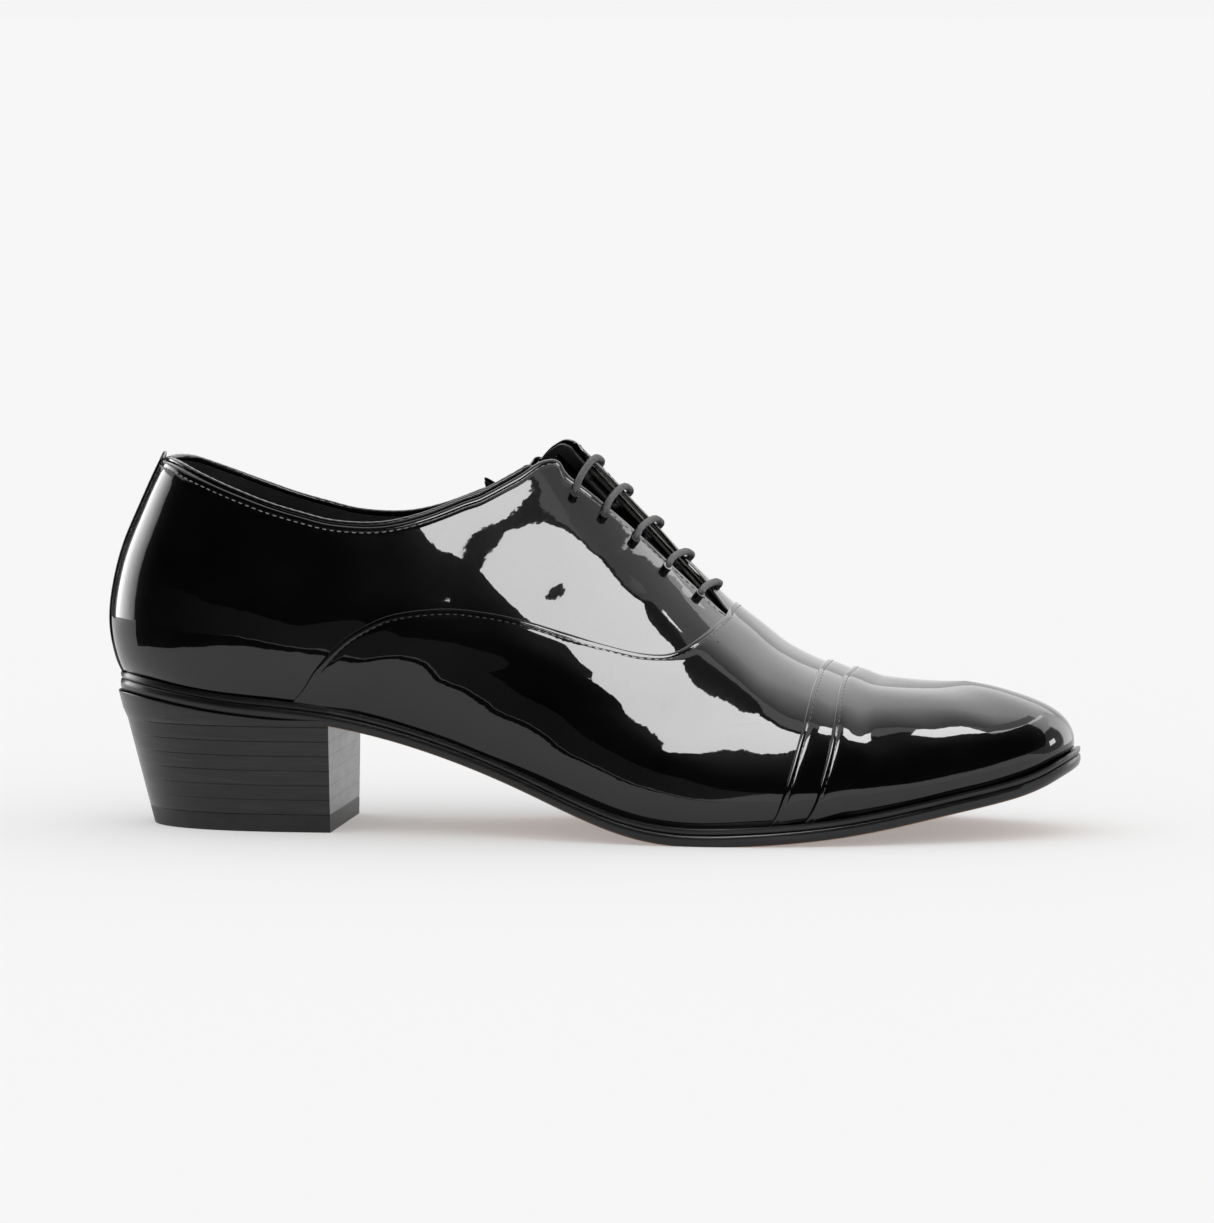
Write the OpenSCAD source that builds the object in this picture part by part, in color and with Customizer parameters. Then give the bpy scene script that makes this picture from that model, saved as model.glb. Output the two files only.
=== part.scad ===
// Leather oxford shoe for the right foot, men's EU 42, with a stacked heel.
// +X points to the toe, +Z up, -Y to the outer (lateral) side. Millimetres.

/* [Leather] */
// Thickness of the outer leather
leather = 1.0; // [0.9:0.05:1.1]
// Thickness of the lining leather
lining = 0.8; // [0.6:0.05:0.9]
// Thickness of the stiffeners between lining and outer leather
stiffener = 0.8; // [0.6:0.05:0.9]
// Free gap kept between neighbouring layers
gap = 0.3; // [0.25:0.05:0.35]

/* [Sole] */
// Thickness of the welt and of the heel rand
welt_t = 2.0; // [1.8:0.1:2.2]
// Thickness of the outsole
outsole_t = 3.9; // [3.5:0.1:3.9]
// Thickness of the insole
insole_t = 2.5; // [2:0.1:3]
// How far the sole stands out past the upper at the forepart
sole_edge = 3.0; // [2:0.1:3.5]
// How far the sole stands out past the upper at the heel and waist
seat_edge = 1.2; // [0.8:0.1:1.5]

/* [Heel] */
// Thickness of the rubber top piece
top_piece_t = 5.5; // [5:0.1:6]
// Thickness of one heel lift
lift_t = 4.5; // [4:0.1:4.5]
// Number of heel lifts under the wedge
lift_count = 6; // [5:1:6]
// Place of the flat front face of the heel
breast_x = -78; // [-80:1:-76]
// Length of the heel's ground contact over that of its seat
heel_taper_x = 0.85; // [0.8:0.01:0.95]
// Width of the heel's ground contact over that of its seat
heel_taper_y = 0.87; // [0.8:0.01:0.95]

/* [Laces] */
// Diameter of the round waxed lace
lace_d = 2.2; // [2:0.1:2.4]
// Inner radius of an eyelet
eyelet_r = 1.6; // [1.5:0.05:1.65]

/* [Hidden] */

// The shoe's own frame stands on the floor under the middle of its outline.
frame_shift = [2, 2.1, 0];

// The last, as 12 stations from the heel's back to the toe's tip. Each station has five
// control points: feather, bulge, side, shoulder and ridge, as [x, y outer, y inner, z].
last_net = [
    [[-147, 0, 0, 47], [-153, 0, 0, 59], [-151, 0, 0, 82], [-136, 0, 0, 108], [-124, 0, 0, 132]],
    [[-136, -20, 20, 46], [-141, -24, 24, 57], [-139, -23, 23, 80], [-127, -17, 17, 106],
        [-118, -14, 14, 130]],
    [[-110, -30, 29, 41.5], [-111, -35, 34, 53], [-112, -32, 32, 77], [-108, -23, 24, 103],
        [-104, -19, 19, 128]],
    [[-80, -30, 27, 40], [-80, -36, 33, 51], [-81, -33, 33, 71], [-82, -24, 26, 99],
        [-84, -20, 20, 128]],
    [[-48, -30.5, 23, 32], [-46, -36, 32, 43], [-49, -34, 34, 67], [-55, -23, 25, 99],
        [-60, -15, 19, 130]],
    [[-15, -38.5, 24.5, 20], [-12, -42, 37, 31], [-17, -38, 41, 60], [-29, -14, 22, 107],
        [-32, 5, 5, 138]],
    [[18, -49, 38, 5], [21, -53, 45, 16], [13, -44, 43, 45], [-3, -4, 19, 110], [-3, 8, 8, 110]],
    [[50, -51.5, 46, 5.5], [53, -55.5, 51, 14], [46, -48, 48, 32], [36, -9, 23, 66],
        [36, 8, 8, 66]],
    [[83, -44.5, 44.5, 8], [85, -48, 48, 15], [80, -42, 43, 29], [67, -16, 25, 45.5],
        [67, 6, 6, 45.5]],
    [[113, -31, 34.5, 15], [115, -33.5, 37, 21], [108, -28, 33, 33], [95, -15, 19, 42.5],
        [95, 4, 4, 42.5]],
    [[135, -17.5, 22, 19], [138, -19, 24, 26], [130, -14.5, 21, 36], [111, -7, 12, 42],
        [109, 3, 3, 42.5]],
    [[145, 3, 3, 25], [148, 3, 3, 31], [142, 3, 3, 38], [123, 3, 3, 41.5], [114, 3, 3, 42.5]]];
toe = len(last_net) - 1;
columns = 2 * toe;
control_grid = [for (c = [0:columns - 1])
    let (k = c <= toe ? c : columns - c)
    [for (p = last_net[k]) [p[0], c <= toe ? p[1] : p[2], p[3]]]];

// Cubic spline weights along the shoe, and their slopes.
function along(t) = [(1 - t) ^ 3 / 6, (3 * t ^ 3 - 6 * t ^ 2 + 4) / 6,
    (-3 * t ^ 3 + 3 * t ^ 2 + 3 * t + 1) / 6, t ^ 3 / 6];
function along_slope(t) = [-(1 - t) ^ 2 / 2, (3 * t ^ 2 - 4 * t) / 2,
    (-3 * t ^ 2 + 2 * t + 1) / 2, t ^ 2 / 2];
// Weights from the feather to the ridge, for a clamped spline with one inner knot.
function half_weights(a) = [(1 - a) ^ 3, a * (7 * a * a - 18 * a + 12) / 4,
    a * a * (3 - 2 * a) / 2, a ^ 3 / 4, 0];
function half_slopes(a) = 2 * [-3 * (1 - a) ^ 2, (21 * a * a - 36 * a + 12) / 4,
    3 * a - 3 * a * a, 3 * a * a / 4, 0];
function reversed(v) = [for (i = [len(v) - 1:-1:0]) v[i]];
function up(w) = w < 0.5 ? half_weights(2 * w) : reversed(half_weights(2 - 2 * w));
function up_slope(w) = w < 0.5 ? half_slopes(2 * w) : -reversed(half_slopes(2 - 2 * w));
function near_columns(u) = [for (k = [0:3]) control_grid[(floor(u) - 1 + k + columns) % columns]];
function blend(cols, a, b) = a * [for (c = cols) b * c];
function unit(v) = v / norm(v);
function smooth(x) = let (t = min(max(x, 0), 1)) t * t * (3 - 2 * t);

// Height of the feather line over x, run straight on past both ends.
function feather(u) = blend(near_columns(u), along(u - floor(u)), up(0));
feather_line = concat([[-160, feather(0)[2]]],
    [for (k = [0:0.5:toe]) let (p = feather(k)) [p[0], p[2]]],
    [let (p = feather(toe), q = feather(toe - 0.5)) [160,
        p[2] + (160 - p[0]) * (p[2] - q[2]) / (p[0] - q[0])]]);
function feather_z(x) = lookup(x, feather_line);

// A point at height d over the last at [station, girth]. The girth goes from 0 on the outer
// feather over 1 on the ridge to 2 on the inner feather. The foot of each layer stands on
// the welt, a small gap above it.
foot_gap = 0.4;
foot_blend = 0.12;
function skin(s, d) =
    let (
        over = s[1] > 1,
        u = over ? -s[0] : s[0],
        w = max(over ? 2 - s[1] : s[1], 0),
        cols = near_columns(u),
        t = u - floor(u),
        p = blend(cols, along(t), up(w)),
        n = unit(cross(blend(cols, along_slope(t), up(w)), blend(cols, along(t), up_slope(w)))
            + [0, 0, 20]),
        level = smooth(w / foot_blend),
        m = unit([n[0], n[1], n[2] * level]),
        q = p + d * m,
        lift = (feather_z(q[0]) - feather_z(p[0]) + foot_gap) * (1 - level))
    q + [0, 0, lift];
function skin_normal(s) = unit(skin(s, 1) - skin(s, 0));

// A smooth curve through points, at t from 0 to 1.
function through(points, t) =
    let (
        n = len(points) - 1,
        i = min(floor(t * n), n - 1),
        f = t * n - i,
        p1 = points[i],
        p2 = points[i + 1],
        p0 = i > 0 ? points[i - 1] : 2 * p1 - p2,
        p3 = i + 2 <= n ? points[i + 2] : 2 * p2 - p1)
    p1 + f * ((p2 - p0) / 2 + f * ((p0 - 2.5 * p1 + 2 * p2 - 0.5 * p3)
        + f * (-0.5 * p0 + 1.5 * p1 - 1.5 * p2 + 0.5 * p3)));
function curve(points, steps) = [for (k = [0:steps]) through(points, k / steps)];
function mix(a, b, t) = a + (b - a) * t;
function mix_lists(a, b, t) = [for (k = [0:len(a) - 1]) mix(a[k], b[k], t)];
function across(points) = [for (p = points) [p[0], 2 - p[1]]];
function shifted(points, du) = [for (p = points) [p[0] + du, p[1]]];

// A closed plate between outer and inner rows of points. A folded plate closes on itself
// along its last row.
module plate(outer, inner, folded = false, flipped = false) {
    m = len(outer);
    n = len(outer[0]);
    points = concat([for (row = outer) each row], [for (row = inner) each row]);
    function at(j, i, side) = side * m * n + j * n
        + (folded && j == m - 1 ? min(i, n - 1 - i) : i);
    function quad(a, b, c, d) = flipped ? [[a, c, b], [a, d, c]] : [[a, b, c], [a, c, d]];
    faces = [
        for (j = [0:m - 2]) for (i = [0:n - 2])
            each quad(at(j, i, 0), at(j + 1, i, 0), at(j + 1, i + 1, 0), at(j, i + 1, 0)),
        for (j = [0:m - 2]) for (i = [0:n - 2])
            each quad(at(j, i, 1), at(j, i + 1, 1), at(j + 1, i + 1, 1), at(j + 1, i, 1)),
        for (i = [0:n - 2])
            each quad(at(0, i, 0), at(0, i + 1, 0), at(0, i + 1, 1), at(0, i, 1)),
        if (!folded) for (i = [0:n - 2])
            each quad(at(m - 1, i, 1), at(m - 1, i + 1, 1), at(m - 1, i + 1, 0), at(m - 1, i, 0)),
        for (j = [0:m - 2])
            each quad(at(j, 0, 1), at(j + 1, 0, 1), at(j + 1, 0, 0), at(j, 0, 0)),
        for (j = [0:m - 2])
            each quad(at(j, n - 1, 0), at(j + 1, n - 1, 0), at(j + 1, n - 1, 1), at(j, n - 1, 1))];
    translate(frame_shift) polyhedron(points, faces);
}

// Rows with more rows put between them, as many strips to each gap as its count says.
function filled(rows, counts) = concat([rows[0]],
    [for (r = [0:len(counts) - 1]) for (k = [1:counts[r]])
        let (f = k / counts[r], a = rows[r], b = rows[r + 1])
        [for (i = [0:len(a) - 1]) is_list(a[i]) ? mix_lists(a[i], b[i], f) : mix(a[i], b[i], f)]]);

// A closed sheet over the last. Each row is [list of places, inner height, outer height].
module sheet(rows, counts, folded = false, flipped = false) {
    lines = filled(rows, counts);
    plate([for (l = lines) [for (s = l[0]) skin(s, l[2])]],
        [for (l = lines) [for (s = l[0]) skin(s, l[1])]], folded, flipped);
}

// Heights of the layers over the last.
stiff_in = lining + gap;
stiff_out = stiff_in + stiffener;
skin_in = stiff_out + gap;
skin_out = skin_in + leather;
lap_in = skin_out + gap + 0.1;
lap_out = lap_in + leather;
band_out = lap_in + 0.7;
cap_in = band_out + gap;
cap_out = cap_in + leather;

// Seams and edges as [station, girth]. The vamp's rear edge and the hidden edge of the
// quarter under it run side by side from the feather to the throat.
vamp_edge = [[2.7, 0], [2.83, 0.09], [2.97, 0.19], [3.22, 0.32], [3.54, 0.42],
    [3.83, 0.47], [4.25, 0.505], [4.64, 0.513], [5.03, 0.513], [5.42, 0.512], [5.82, 0.518], [6.21, 0.54], [6.52, 0.585],
    [6.8, 0.68], [7.03, 0.81], [7.1, 0.9], [7.13, 1]];
under_edge = [[2.95, 0], [3.07, 0.075], [3.2, 0.16], [3.45, 0.27], [3.74, 0.355],
    [3.98, 0.4], [4.3, 0.435], [4.66, 0.447], [5.03, 0.45], [5.42, 0.449], [5.86, 0.455], [6.28, 0.475], [6.66, 0.525],
    [7.0, 0.63], [7.22, 0.78], [7.3, 0.88], [7.34, 1]];
topline = [[0, 0.83], [0.4, 0.836], [0.86, 0.836], [1.42, 0.818], [1.96, 0.793], [2.39, 0.771],
    [2.78, 0.755], [3.15, 0.741], [3.64, 0.741], [4.09, 0.758], [4.55, 0.783],
    [4.8, 0.797], [5.17, 0.836]];
outer_corner = [[5.46, 0.885], [5.61, 0.9], [5.72, 0.875]];
inner_corner = [[5.5, 1.08], [5.68, 1.02], [5.82, 0.988]];
outer_facing = [[6.03, 0.862], [6.32, 0.862], [6.6, 0.862], [6.85, 0.862], [7.08, 0.862]];
inner_facing = [[6.0, 0.983], [6.35, 0.988], [6.66, 0.985], [6.88, 0.96], [7.08, 0.896]];
cap_edge = [[7.53, 0], [7.57, 0.07], [7.63, 0.145], [7.69, 0.235], [7.86, 0.425],
    [8.0, 0.57], [8.11, 0.68], [8.24, 0.82], [8.36, 1]];
band_edge = [[7.23, 0], [7.28, 0.085], [7.35, 0.19], [7.51, 0.37], [7.66, 0.51],
    [7.82, 0.66], [7.96, 0.8], [8.07, 1]];
lining_edge = [[4.6, 0], [4.68, 0.045], [4.78, 0.095], [4.9, 0.15], [5.3, 0.3], [5.8, 0.45],
    [6.3, 0.58], [6.8, 0.72], [7.13, 0.86]];

// Both halves of an edge that crosses the shoe, from the outer to the inner feather.
function whole(half) = concat(half,
    [for (k = [len(half) - 2:-1:0]) [half[k][0], 2 - half[k][1]]]);

girth_steps = 40;
length_steps = 36;

module vamp() {
    rear = curve(whole(vamp_edge), girth_steps);
    under = curve(whole(under_edge), girth_steps);
    front = shifted(curve(whole(cap_edge), girth_steps), 0.2);
    lap_end = mix_lists(rear, under, 1.35);
    lap_foot = mix_lists(rear, under, 2);
    color("#161617") sheet([[rear, lap_in, lap_out], [lap_end, lap_in, lap_out],
        [lap_foot, skin_in, skin_out], [front, skin_in, skin_out]], [1, 1, 9], flipped = true);
}

module toe_cap() {
    edge = curve(whole(cap_edge), 30);
    tip = [for (s = edge) [toe, s[1]]];
    color("#1a1a1b") sheet([[edge, cap_in, cap_out], [shifted(edge, 0.13), cap_in, cap_out],
        [shifted(edge, 0.26), lap_in + 0.25, lap_out + 0.25],
        [shifted(edge, 0.42), skin_in, skin_out], [tip, skin_in, skin_out]],
        [1, 1, 1, 7], folded = true, flipped = true);
}

module cap_band() {
    rear = curve(whole(band_edge), 36);
    front = shifted(curve(whole(cap_edge), 36), 0.1);
    color("#202021") sheet([[rear, lap_in, band_out], [front, lap_in, band_out]], [3], flipped = true);
}

module toe_puff() {
    edge = shifted(curve(whole(cap_edge), 26), 0.1);
    tip = [for (s = edge) [toe, s[1]]];
    color("#c9b183") sheet([[edge, stiff_in, stiff_out], [tip, stiff_in, stiff_out]], [7],
        folded = true, flipped = true);
}

// The cloth between the vamp and its lining is thinner than the other stiffeners.
cloth_in = stiff_in + 0.25;
cloth_out = stiff_out - 0.05;
module vamp_interlining() {
    rear = mix_lists(curve(whole(vamp_edge), 32), curve(whole(under_edge), 32), 1.3);
    front = curve(whole(cap_edge), 32);
    color("#d8d2c4") sheet([[rear, cloth_in, cloth_out], [front, cloth_in, cloth_out]], [9],
        flipped = true);
}

// The quarter linings and the vamp lining meet edge to edge, half a seam apart.
module vamp_lining() {
    edge = curve(whole(concat(lining_edge, [[7.2, 1]])), 38);
    rear = shifted(edge, 0.07);
    tip = [for (s = rear) [toe, s[1]]];
    color("#201f1f") sheet([[rear, 0, lining], [mix_lists(rear, tip, 0.4), 0, lining],
        [tip, 0, lining]], [10, 7], folded = true, flipped = true);
}

// Both quarters, and both halves of the quarter lining, run from a low line on the feather
// and under the vamp to a high line on the topline and the facing.
heel_feather = [for (u = [0, 0.4, 0.86, 1.4, 1.9, 2.4]) [u, 0]];
outer_low = concat(heel_feather, [for (k = [0:15]) under_edge[k]]);
inner_low = concat(across(concat(heel_feather, [for (k = [0:14]) under_edge[k]])), [[7.31, 0.9]]);
lining_low = concat(heel_feather, [[3, 0], [3.8, 0]], lining_edge);
outer_high = concat(topline, outer_corner, outer_facing);
inner_high = concat(across(topline), inner_corner, inner_facing);

module quarter_sheet(low, high, inner_side, from, to) {
    foot = curve(low, length_steps);
    edge = curve(high, length_steps);
    difference() {
        sheet([[foot, from, to], [mix_lists(foot, edge, 0.7), from, to], [edge, from, to]],
            [5, inner_side ? 6 : 4], flipped = inner_side);
        eyelet_bores(inner_side ? inner_eyelets : outer_eyelets);
    }
}

module quarter_lateral() {
    color("#131314") quarter_sheet(outer_low, outer_high, false, skin_in, skin_out);
}

module quarter_medial() {
    color("#131314") quarter_sheet(inner_low, inner_high, true, skin_in, skin_out);
}

module quarter_lining_lateral() {
    color("#201f1f") quarter_sheet(lining_low, outer_high, false, 0, lining);
}

module quarter_lining_medial() {
    color("#201f1f") quarter_sheet(across(lining_low), inner_high, true, 0, lining);
}

module heel_counter() {
    top = [[-2.7, 0.12], [-2.2, 0.3], [-1.4, 0.48], [-0.6, 0.57], [0, 0.59], [0.6, 0.57],
        [1.4, 0.48], [2.2, 0.3], [2.7, 0.12]];
    foot = [for (s = top) [s[0], 0]];
    color("#c9b183") sheet([[curve(foot, 30), stiff_in, stiff_out - 0.1],
        [curve(top, 30), stiff_in, stiff_out - 0.1]], [5]);
}

module back_strip() {
    half_width = 0.2;
    foot = [for (k = [-2:2]) [k / 2 * half_width, 0]];
    top = [[-half_width, 0.83], [-half_width / 2, 0.848], [0, 0.852], [half_width / 2, 0.848],
        [half_width, 0.83]];
    color("#0e0e0f") sheet([[foot, lap_in, lap_out], [top, lap_in, lap_out]], [14]);
}

// The stays that back the eyelet rows are of the same thin cloth.
module facing_stay(high_points, shift_w, inner_side) {
    high = curve([for (s = high_points) [s[0], s[1] + shift_w[0]]], 14);
    low = curve([for (s = high_points) [s[0], s[1] + shift_w[1]]], 14);
    color("#d8d2c4") difference() {
        sheet([[low, cloth_in, cloth_out], [high, cloth_in, cloth_out]], [3],
            flipped = inner_side);
        eyelet_bores(inner_side ? inner_eyelets : outer_eyelets);
    }
}

stay_line = [[5.62, 0.862], [5.95, 0.862], [6.28, 0.862], [6.6, 0.862], [6.95, 0.862]];
inner_stay_line = [[5.88, 1.0], [6.12, 0.99], [6.4, 0.99], [6.75, 0.984], [7.02, 0.957]];
module facing_stay_lateral() {
    facing_stay(stay_line, [-0.01, -0.1], false);
}

module facing_stay_medial() {
    facing_stay(inner_stay_line, [0.01, 0.1], true);
}

// A round bar swept along points, with flat ends.
module sweep(points, r, sides) {
    n = len(points);
    tangents = [for (i = [0:n - 1]) unit(points[min(i + 1, n - 1)] - points[max(i - 1, 0)])];
    first = unit(cross(tangents[0], abs(tangents[0][2]) < 0.8 ? [0, 0, 1] : [0, 1, 0]));
    sides_of = [for (i = 0, e = first; i < n; i = i + 1,
        e = i < n ? unit(e - (e * tangents[i]) * tangents[i]) : e) e];
    rings = [for (i = [0:n - 1]) for (k = [0:sides - 1])
        let (a = 360 * k / sides, e = sides_of[i], f = cross(tangents[i], e))
        points[i] + r * (cos(a) * e + sin(a) * f)];
    walls = [for (i = [0:n - 2]) for (k = [0:sides - 1])
        let (a = i * sides + k, b = i * sides + (k + 1) % sides)
        each [[a, a + sides, b], [b, a + sides, b + sides]]];
    ends = [[for (k = [0:sides - 1]) k], [for (k = [sides - 1:-1:0]) (n - 1) * sides + k]];
    polyhedron(rings, concat(walls, ends));
}

module topline_binding() {
    rise = 0.017;
    bead_r = 0.8;
    outer = [for (k = [len(topline) - 1:-1:0]) topline[k]];
    inner = [for (k = [1:len(topline) - 1]) [-topline[k][0], topline[k][1]]];
    line = curve(concat([outer_corner[0]], outer, inner, [[-5.4, 0.9]]), 62);
    color("#3a3a3c") translate(frame_shift)
        sweep([for (s = line) skin([s[0], s[1] + rise], (lining + skin_in) / 2)], bead_r, 6);
}

// The tongue hangs from the vamp lining in front of the throat and dips under the lace's runs.
// Its free end leaves the instep and sags into the shoe, with one corner above the topline.
// Each row is [station, bow, outer girth, inner girth, depth, looseness, rise of the middle].
tongue_depth = 3.7;
tongue_root = 0.5;
tongue_rows = [[7.46, 0, 0.8, 1.09, tongue_root, 0, 0],
    [7.2, 0, 0.795, 1.095, tongue_depth, 0, 0],
    [5.75, 0, 0.77, 1.12, tongue_depth, 0, 0],
    [5.5, 0.15, 0.785, 1.15, tongue_depth, 1, 5],
    [5.3, 0.45, 0.86, 1.17, tongue_depth, 1, -5]];
function tongue_point(row, under, t) =
    let (
        c = 2 * t - 1,
        height = -row[4] - under,
        held = skin([row[0] - row[1] * c * c, mix(row[2], row[3], t)], height),
        outer = skin([row[0] - row[1], row[2]], -row[4]),
        inner = skin([row[0] - row[1], row[3]], -row[4]),
        bend = row[6] * (1 - c * c) - under)
    mix(held, mix(outer, inner, t) + [0, 0, bend], row[5]);
module tongue_sheet(under, thick) {
    rows = filled(tongue_rows, [2, 7, 4, 3]);
    plate([for (r = rows) [for (k = [0:14]) tongue_point(r, under, k / 14)]],
        [for (r = rows) [for (k = [0:14]) tongue_point(r, under + thick, k / 14)]]);
}

module tongue() {
    color("#101011") tongue_sheet(0, leather);
}

module tongue_lining() {
    color("#201f1f") tongue_sheet(leather + gap, lining);
}

// Eyelets, from the topline to the throat.
outer_eyelets = [[5.73, 0.825], [6.0, 0.815], [6.27, 0.812], [6.54, 0.812], [6.82, 0.82]];
inner_eyelets = [[5.95, 1.03], [6.2, 1.035], [6.46, 1.035], [6.72, 1.03], [6.97, 1.01]];
barrel_r = eyelet_r + 0.35;
flange_r = 2.6;
flange_t = 0.35;
flange_top = -0.7;
module at_skin(s) {
    n = skin_normal(s);
    translate(frame_shift + skin(s, 0))
        rotate([0, acos(n[2]), atan2(n[1], n[0])])
            children();
}

module eyelet_bores(places) {
    for (s = places) at_skin(s) translate([0, 0, -2]) cylinder(r = barrel_r + 0.15, h = 8, $fn = 16);
}

module eyelets() {
    profile = [[eyelet_r, flange_top - flange_t], [flange_r, flange_top - flange_t],
        [flange_r, flange_top], [barrel_r, flange_top], [barrel_r, skin_out + 0.1],
        [eyelet_r, skin_out + 0.1]];
    color("#26262a") for (s = concat(outer_eyelets, inner_eyelets))
        at_skin(s) rotate_extrude($fn = 32) polygon(profile);
}

// The lace crosses in five straight bars, with its runs between the rows inside the facings.
lace_r = lace_d / 2;
over_facing = skin_out + lace_r + 0.5;
under_facing = flange_top - flange_t - 0.15 - lace_r;
function lifted(s, d) = skin([s[0], s[1]], d);
function bar(k) =
    let (a = outer_eyelets[k], b = inner_eyelets[k])
    [lifted(a, under_facing), lifted(a, 0.3), lifted(a, 3), lifted(a, over_facing),
        lifted(mix(a, b, 0.07), over_facing), lifted(mix(a, b, 0.25), over_facing),
        lifted(mix(a, b, 0.76), over_facing), lifted(mix(a, b, 0.93), over_facing),
        lifted(b, over_facing), lifted(b, 3), lifted(b, 0.3), lifted(b, under_facing)];
// The short run inside one facing, from one row to the next.
function run(a, b) = [lifted(mix(a, b, 0.13), under_facing), lifted(mix(a, b, 0.87), under_facing)];

// The lace's ends turn down inside past the tongue, where its two free tails begin.
outer_end = [[5.78, 0.7, -2.6], [5.75, 0.76, -2.4], [5.735, 0.81, under_facing]];
inner_end = [[6.965, 1.025, under_facing], [6.93, 1.1, -2.3], [6.87, 1.21, -2.5]];
lace_way = concat(
    [for (s = outer_end) lifted(s, s[2])],
    [for (k = [0:4]) each concat(k % 2 == 0 ? bar(k) : reversed(bar(k)),
        k == 4 ? [] : k % 2 == 0 ? run(inner_eyelets[k], inner_eyelets[k + 1])
            : run(outer_eyelets[k], outer_eyelets[k + 1]))],
    [for (s = inner_end) lifted(s, s[2])]);

// A line that rounds every corner of a chain of points, with more points on sharp corners.
function rounded(points) =
    let (n = len(points))
    concat([points[0]], [for (i = [1:n - 2])
        let (
            p = (points[i - 1] + points[i]) / 2,
            c = points[i],
            q = (points[i] + points[i + 1]) / 2,
            straight = unit(points[i] - points[i - 1]) * unit(points[i + 1] - points[i]))
        each [for (t = straight > 0.93 ? [0] : [0, 0.3, 0.7])
            (1 - t) ^ 2 * p + 2 * t * (1 - t) * c + t ^ 2 * q]],
        [(points[n - 2] + points[n - 1]) / 2, points[n - 1]]);
module lace() {
    color("#3a3a3d") translate(frame_shift) sweep(rounded(lace_way), lace_r, 8);
}

// The tails run down the lining and forward beside the insole, each to its tip.
outer_tail = [[-2.5, -18.5, 81], [2, -26.5, 67.5], [8.5, -35, 51], [14, -41.5, 36.5],
    [20, -45.5, 25], [27, -46.5, 16.5], [35, -46.5, 11.6], [44, -46.5, 10.5], [54, -46, 10.8],
    [66, -44, 11.9], [78, -41, 13.3], [90, -37, 15.2], [100, -32.5, 17.3], [109, -28, 19.3]];
inner_tail = [[33, 24.5, 62.5], [36, 33.5, 49], [40, 39.5, 37], [43.5, 42.8, 27], [47, 43.8, 18],
    [53, 42.3, 12.4], [62, 41.2, 11.4], [72, 40.8, 12.3], [82, 39.3, 13.6], [92, 37, 15.5],
    [101, 34, 17.3], [109, 31, 19.2]];
tail_steps = 2;
module lace_tail(points) {
    color("#3a3a3d") translate(frame_shift)
        sweep(curve(points, tail_steps * (len(points) - 1)), lace_r, 8);
}

module lace_tail_lateral() {
    lace_tail(outer_tail);
}

module lace_tail_medial() {
    lace_tail(inner_tail);
}

// Moulded tips on the ends of the tails.
tip_length = 17;
tip_r = 1.25;
module lace_tip(points) {
    end = points[len(points) - 1];
    way = unit(end - points[len(points) - 2]);
    translate(frame_shift + end + 0.05 * way) rotate([0, acos(way[2]), atan2(way[1], way[0])])
        cylinder(r = tip_r, h = tip_length, $fn = 24);
}

module aglets() {
    color("#1c1c1e") lace_tip(outer_tail);
    color("#1c1c1e") lace_tip(inner_tail);
}

// Plan and side outlines of the bottom.
function feather_side(u) =
    let (t = blend(near_columns(u), along_slope(u - floor(u)), up(0)))
    unit([t[1], -t[0]]);
function plan_point(u, d) = let (p = feather(u)) [p[0], p[1]] + d * feather_side(u);
function half_station(u) = u <= toe ? u : columns - u;
function edge_at(u) = skin_out
    + mix(seat_edge, sole_edge, smooth((half_station(u) - 4.3) / 1.6));
plan_step = 0.25;
sole_plan = [for (u = [0:plan_step:columns - plan_step]) plan_point(u, edge_at(u))];
function inset_plan(d) = [for (u = [0:plan_step:columns - plan_step]) plan_point(u, -d)];

module upright(points) {
    linear_extrude(height = 80) polygon(points);
}

// A slab that follows the feather line, between two heights over it.
module slab(low, high) {
    line = [for (p = feather_line) [p[0], max(p[1] + low, 0)]];
    top = [for (k = [len(feather_line) - 1:-1:0]) feather_line[k] + [0, high]];
    rotate([90, 0, 0]) linear_extrude(height = 140, center = true) polygon(concat(line, top));
}

module bottom_layer(points, low, high) {
    translate(frame_shift) intersection() {
        upright(points);
        slab(low, high);
    }
}

rand_end = breast_x;
module cut_away(x, keep_front) {
    translate(frame_shift + [keep_front ? x - 300 : x, -100, 0]) cube([300, 200, 90]);
}

module welt_ring(rear) {
    difference() {
        bottom_layer(sole_plan, -welt_t, 0);
        bottom_layer(inset_plan(4), -welt_t - 1, 1);
        cut_away(rand_end + (rear ? -0.15 : 0.15), !rear);
    }
}

module welt() {
    color("#17171a") welt_ring(false);
}

module heel_rand() {
    color("#17171a") welt_ring(true);
}

module outsole() {
    color("#1c1c1e") difference() {
        bottom_layer(sole_plan, -welt_t - outsole_t, -welt_t);
        nail_bores();
    }
}

module cork_filler() {
    color("#8a6238") difference() {
        bottom_layer(inset_plan(4.3), -welt_t, 0);
        shank_room(0.4);
        nail_bores();
    }
}

shank_length = 96;
shank_width = 13;
shank_rear = -100;
module shank_room(free) {
    translate(frame_shift + [shank_rear - free, -2 - shank_width / 2 - free, 0])
        cube([shank_length + 2 * free, shank_width + 2 * free, 80]);
}

module shank() {
    color("#8d9196") intersection() {
        bottom_layer(sole_plan, -1.6, -0.3);
        shank_room(0);
    }
}

module insole() {
    color("#c9a26a") difference() {
        bottom_layer(inset_plan(0.6), 0, insole_t);
        nail_bores(head_r + 0.2);
    }
}

sock_t = 0.8;
module sock() {
    color("#201f1f") bottom_layer(inset_plan(1), insole_t, insole_t + sock_t);
}

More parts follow.
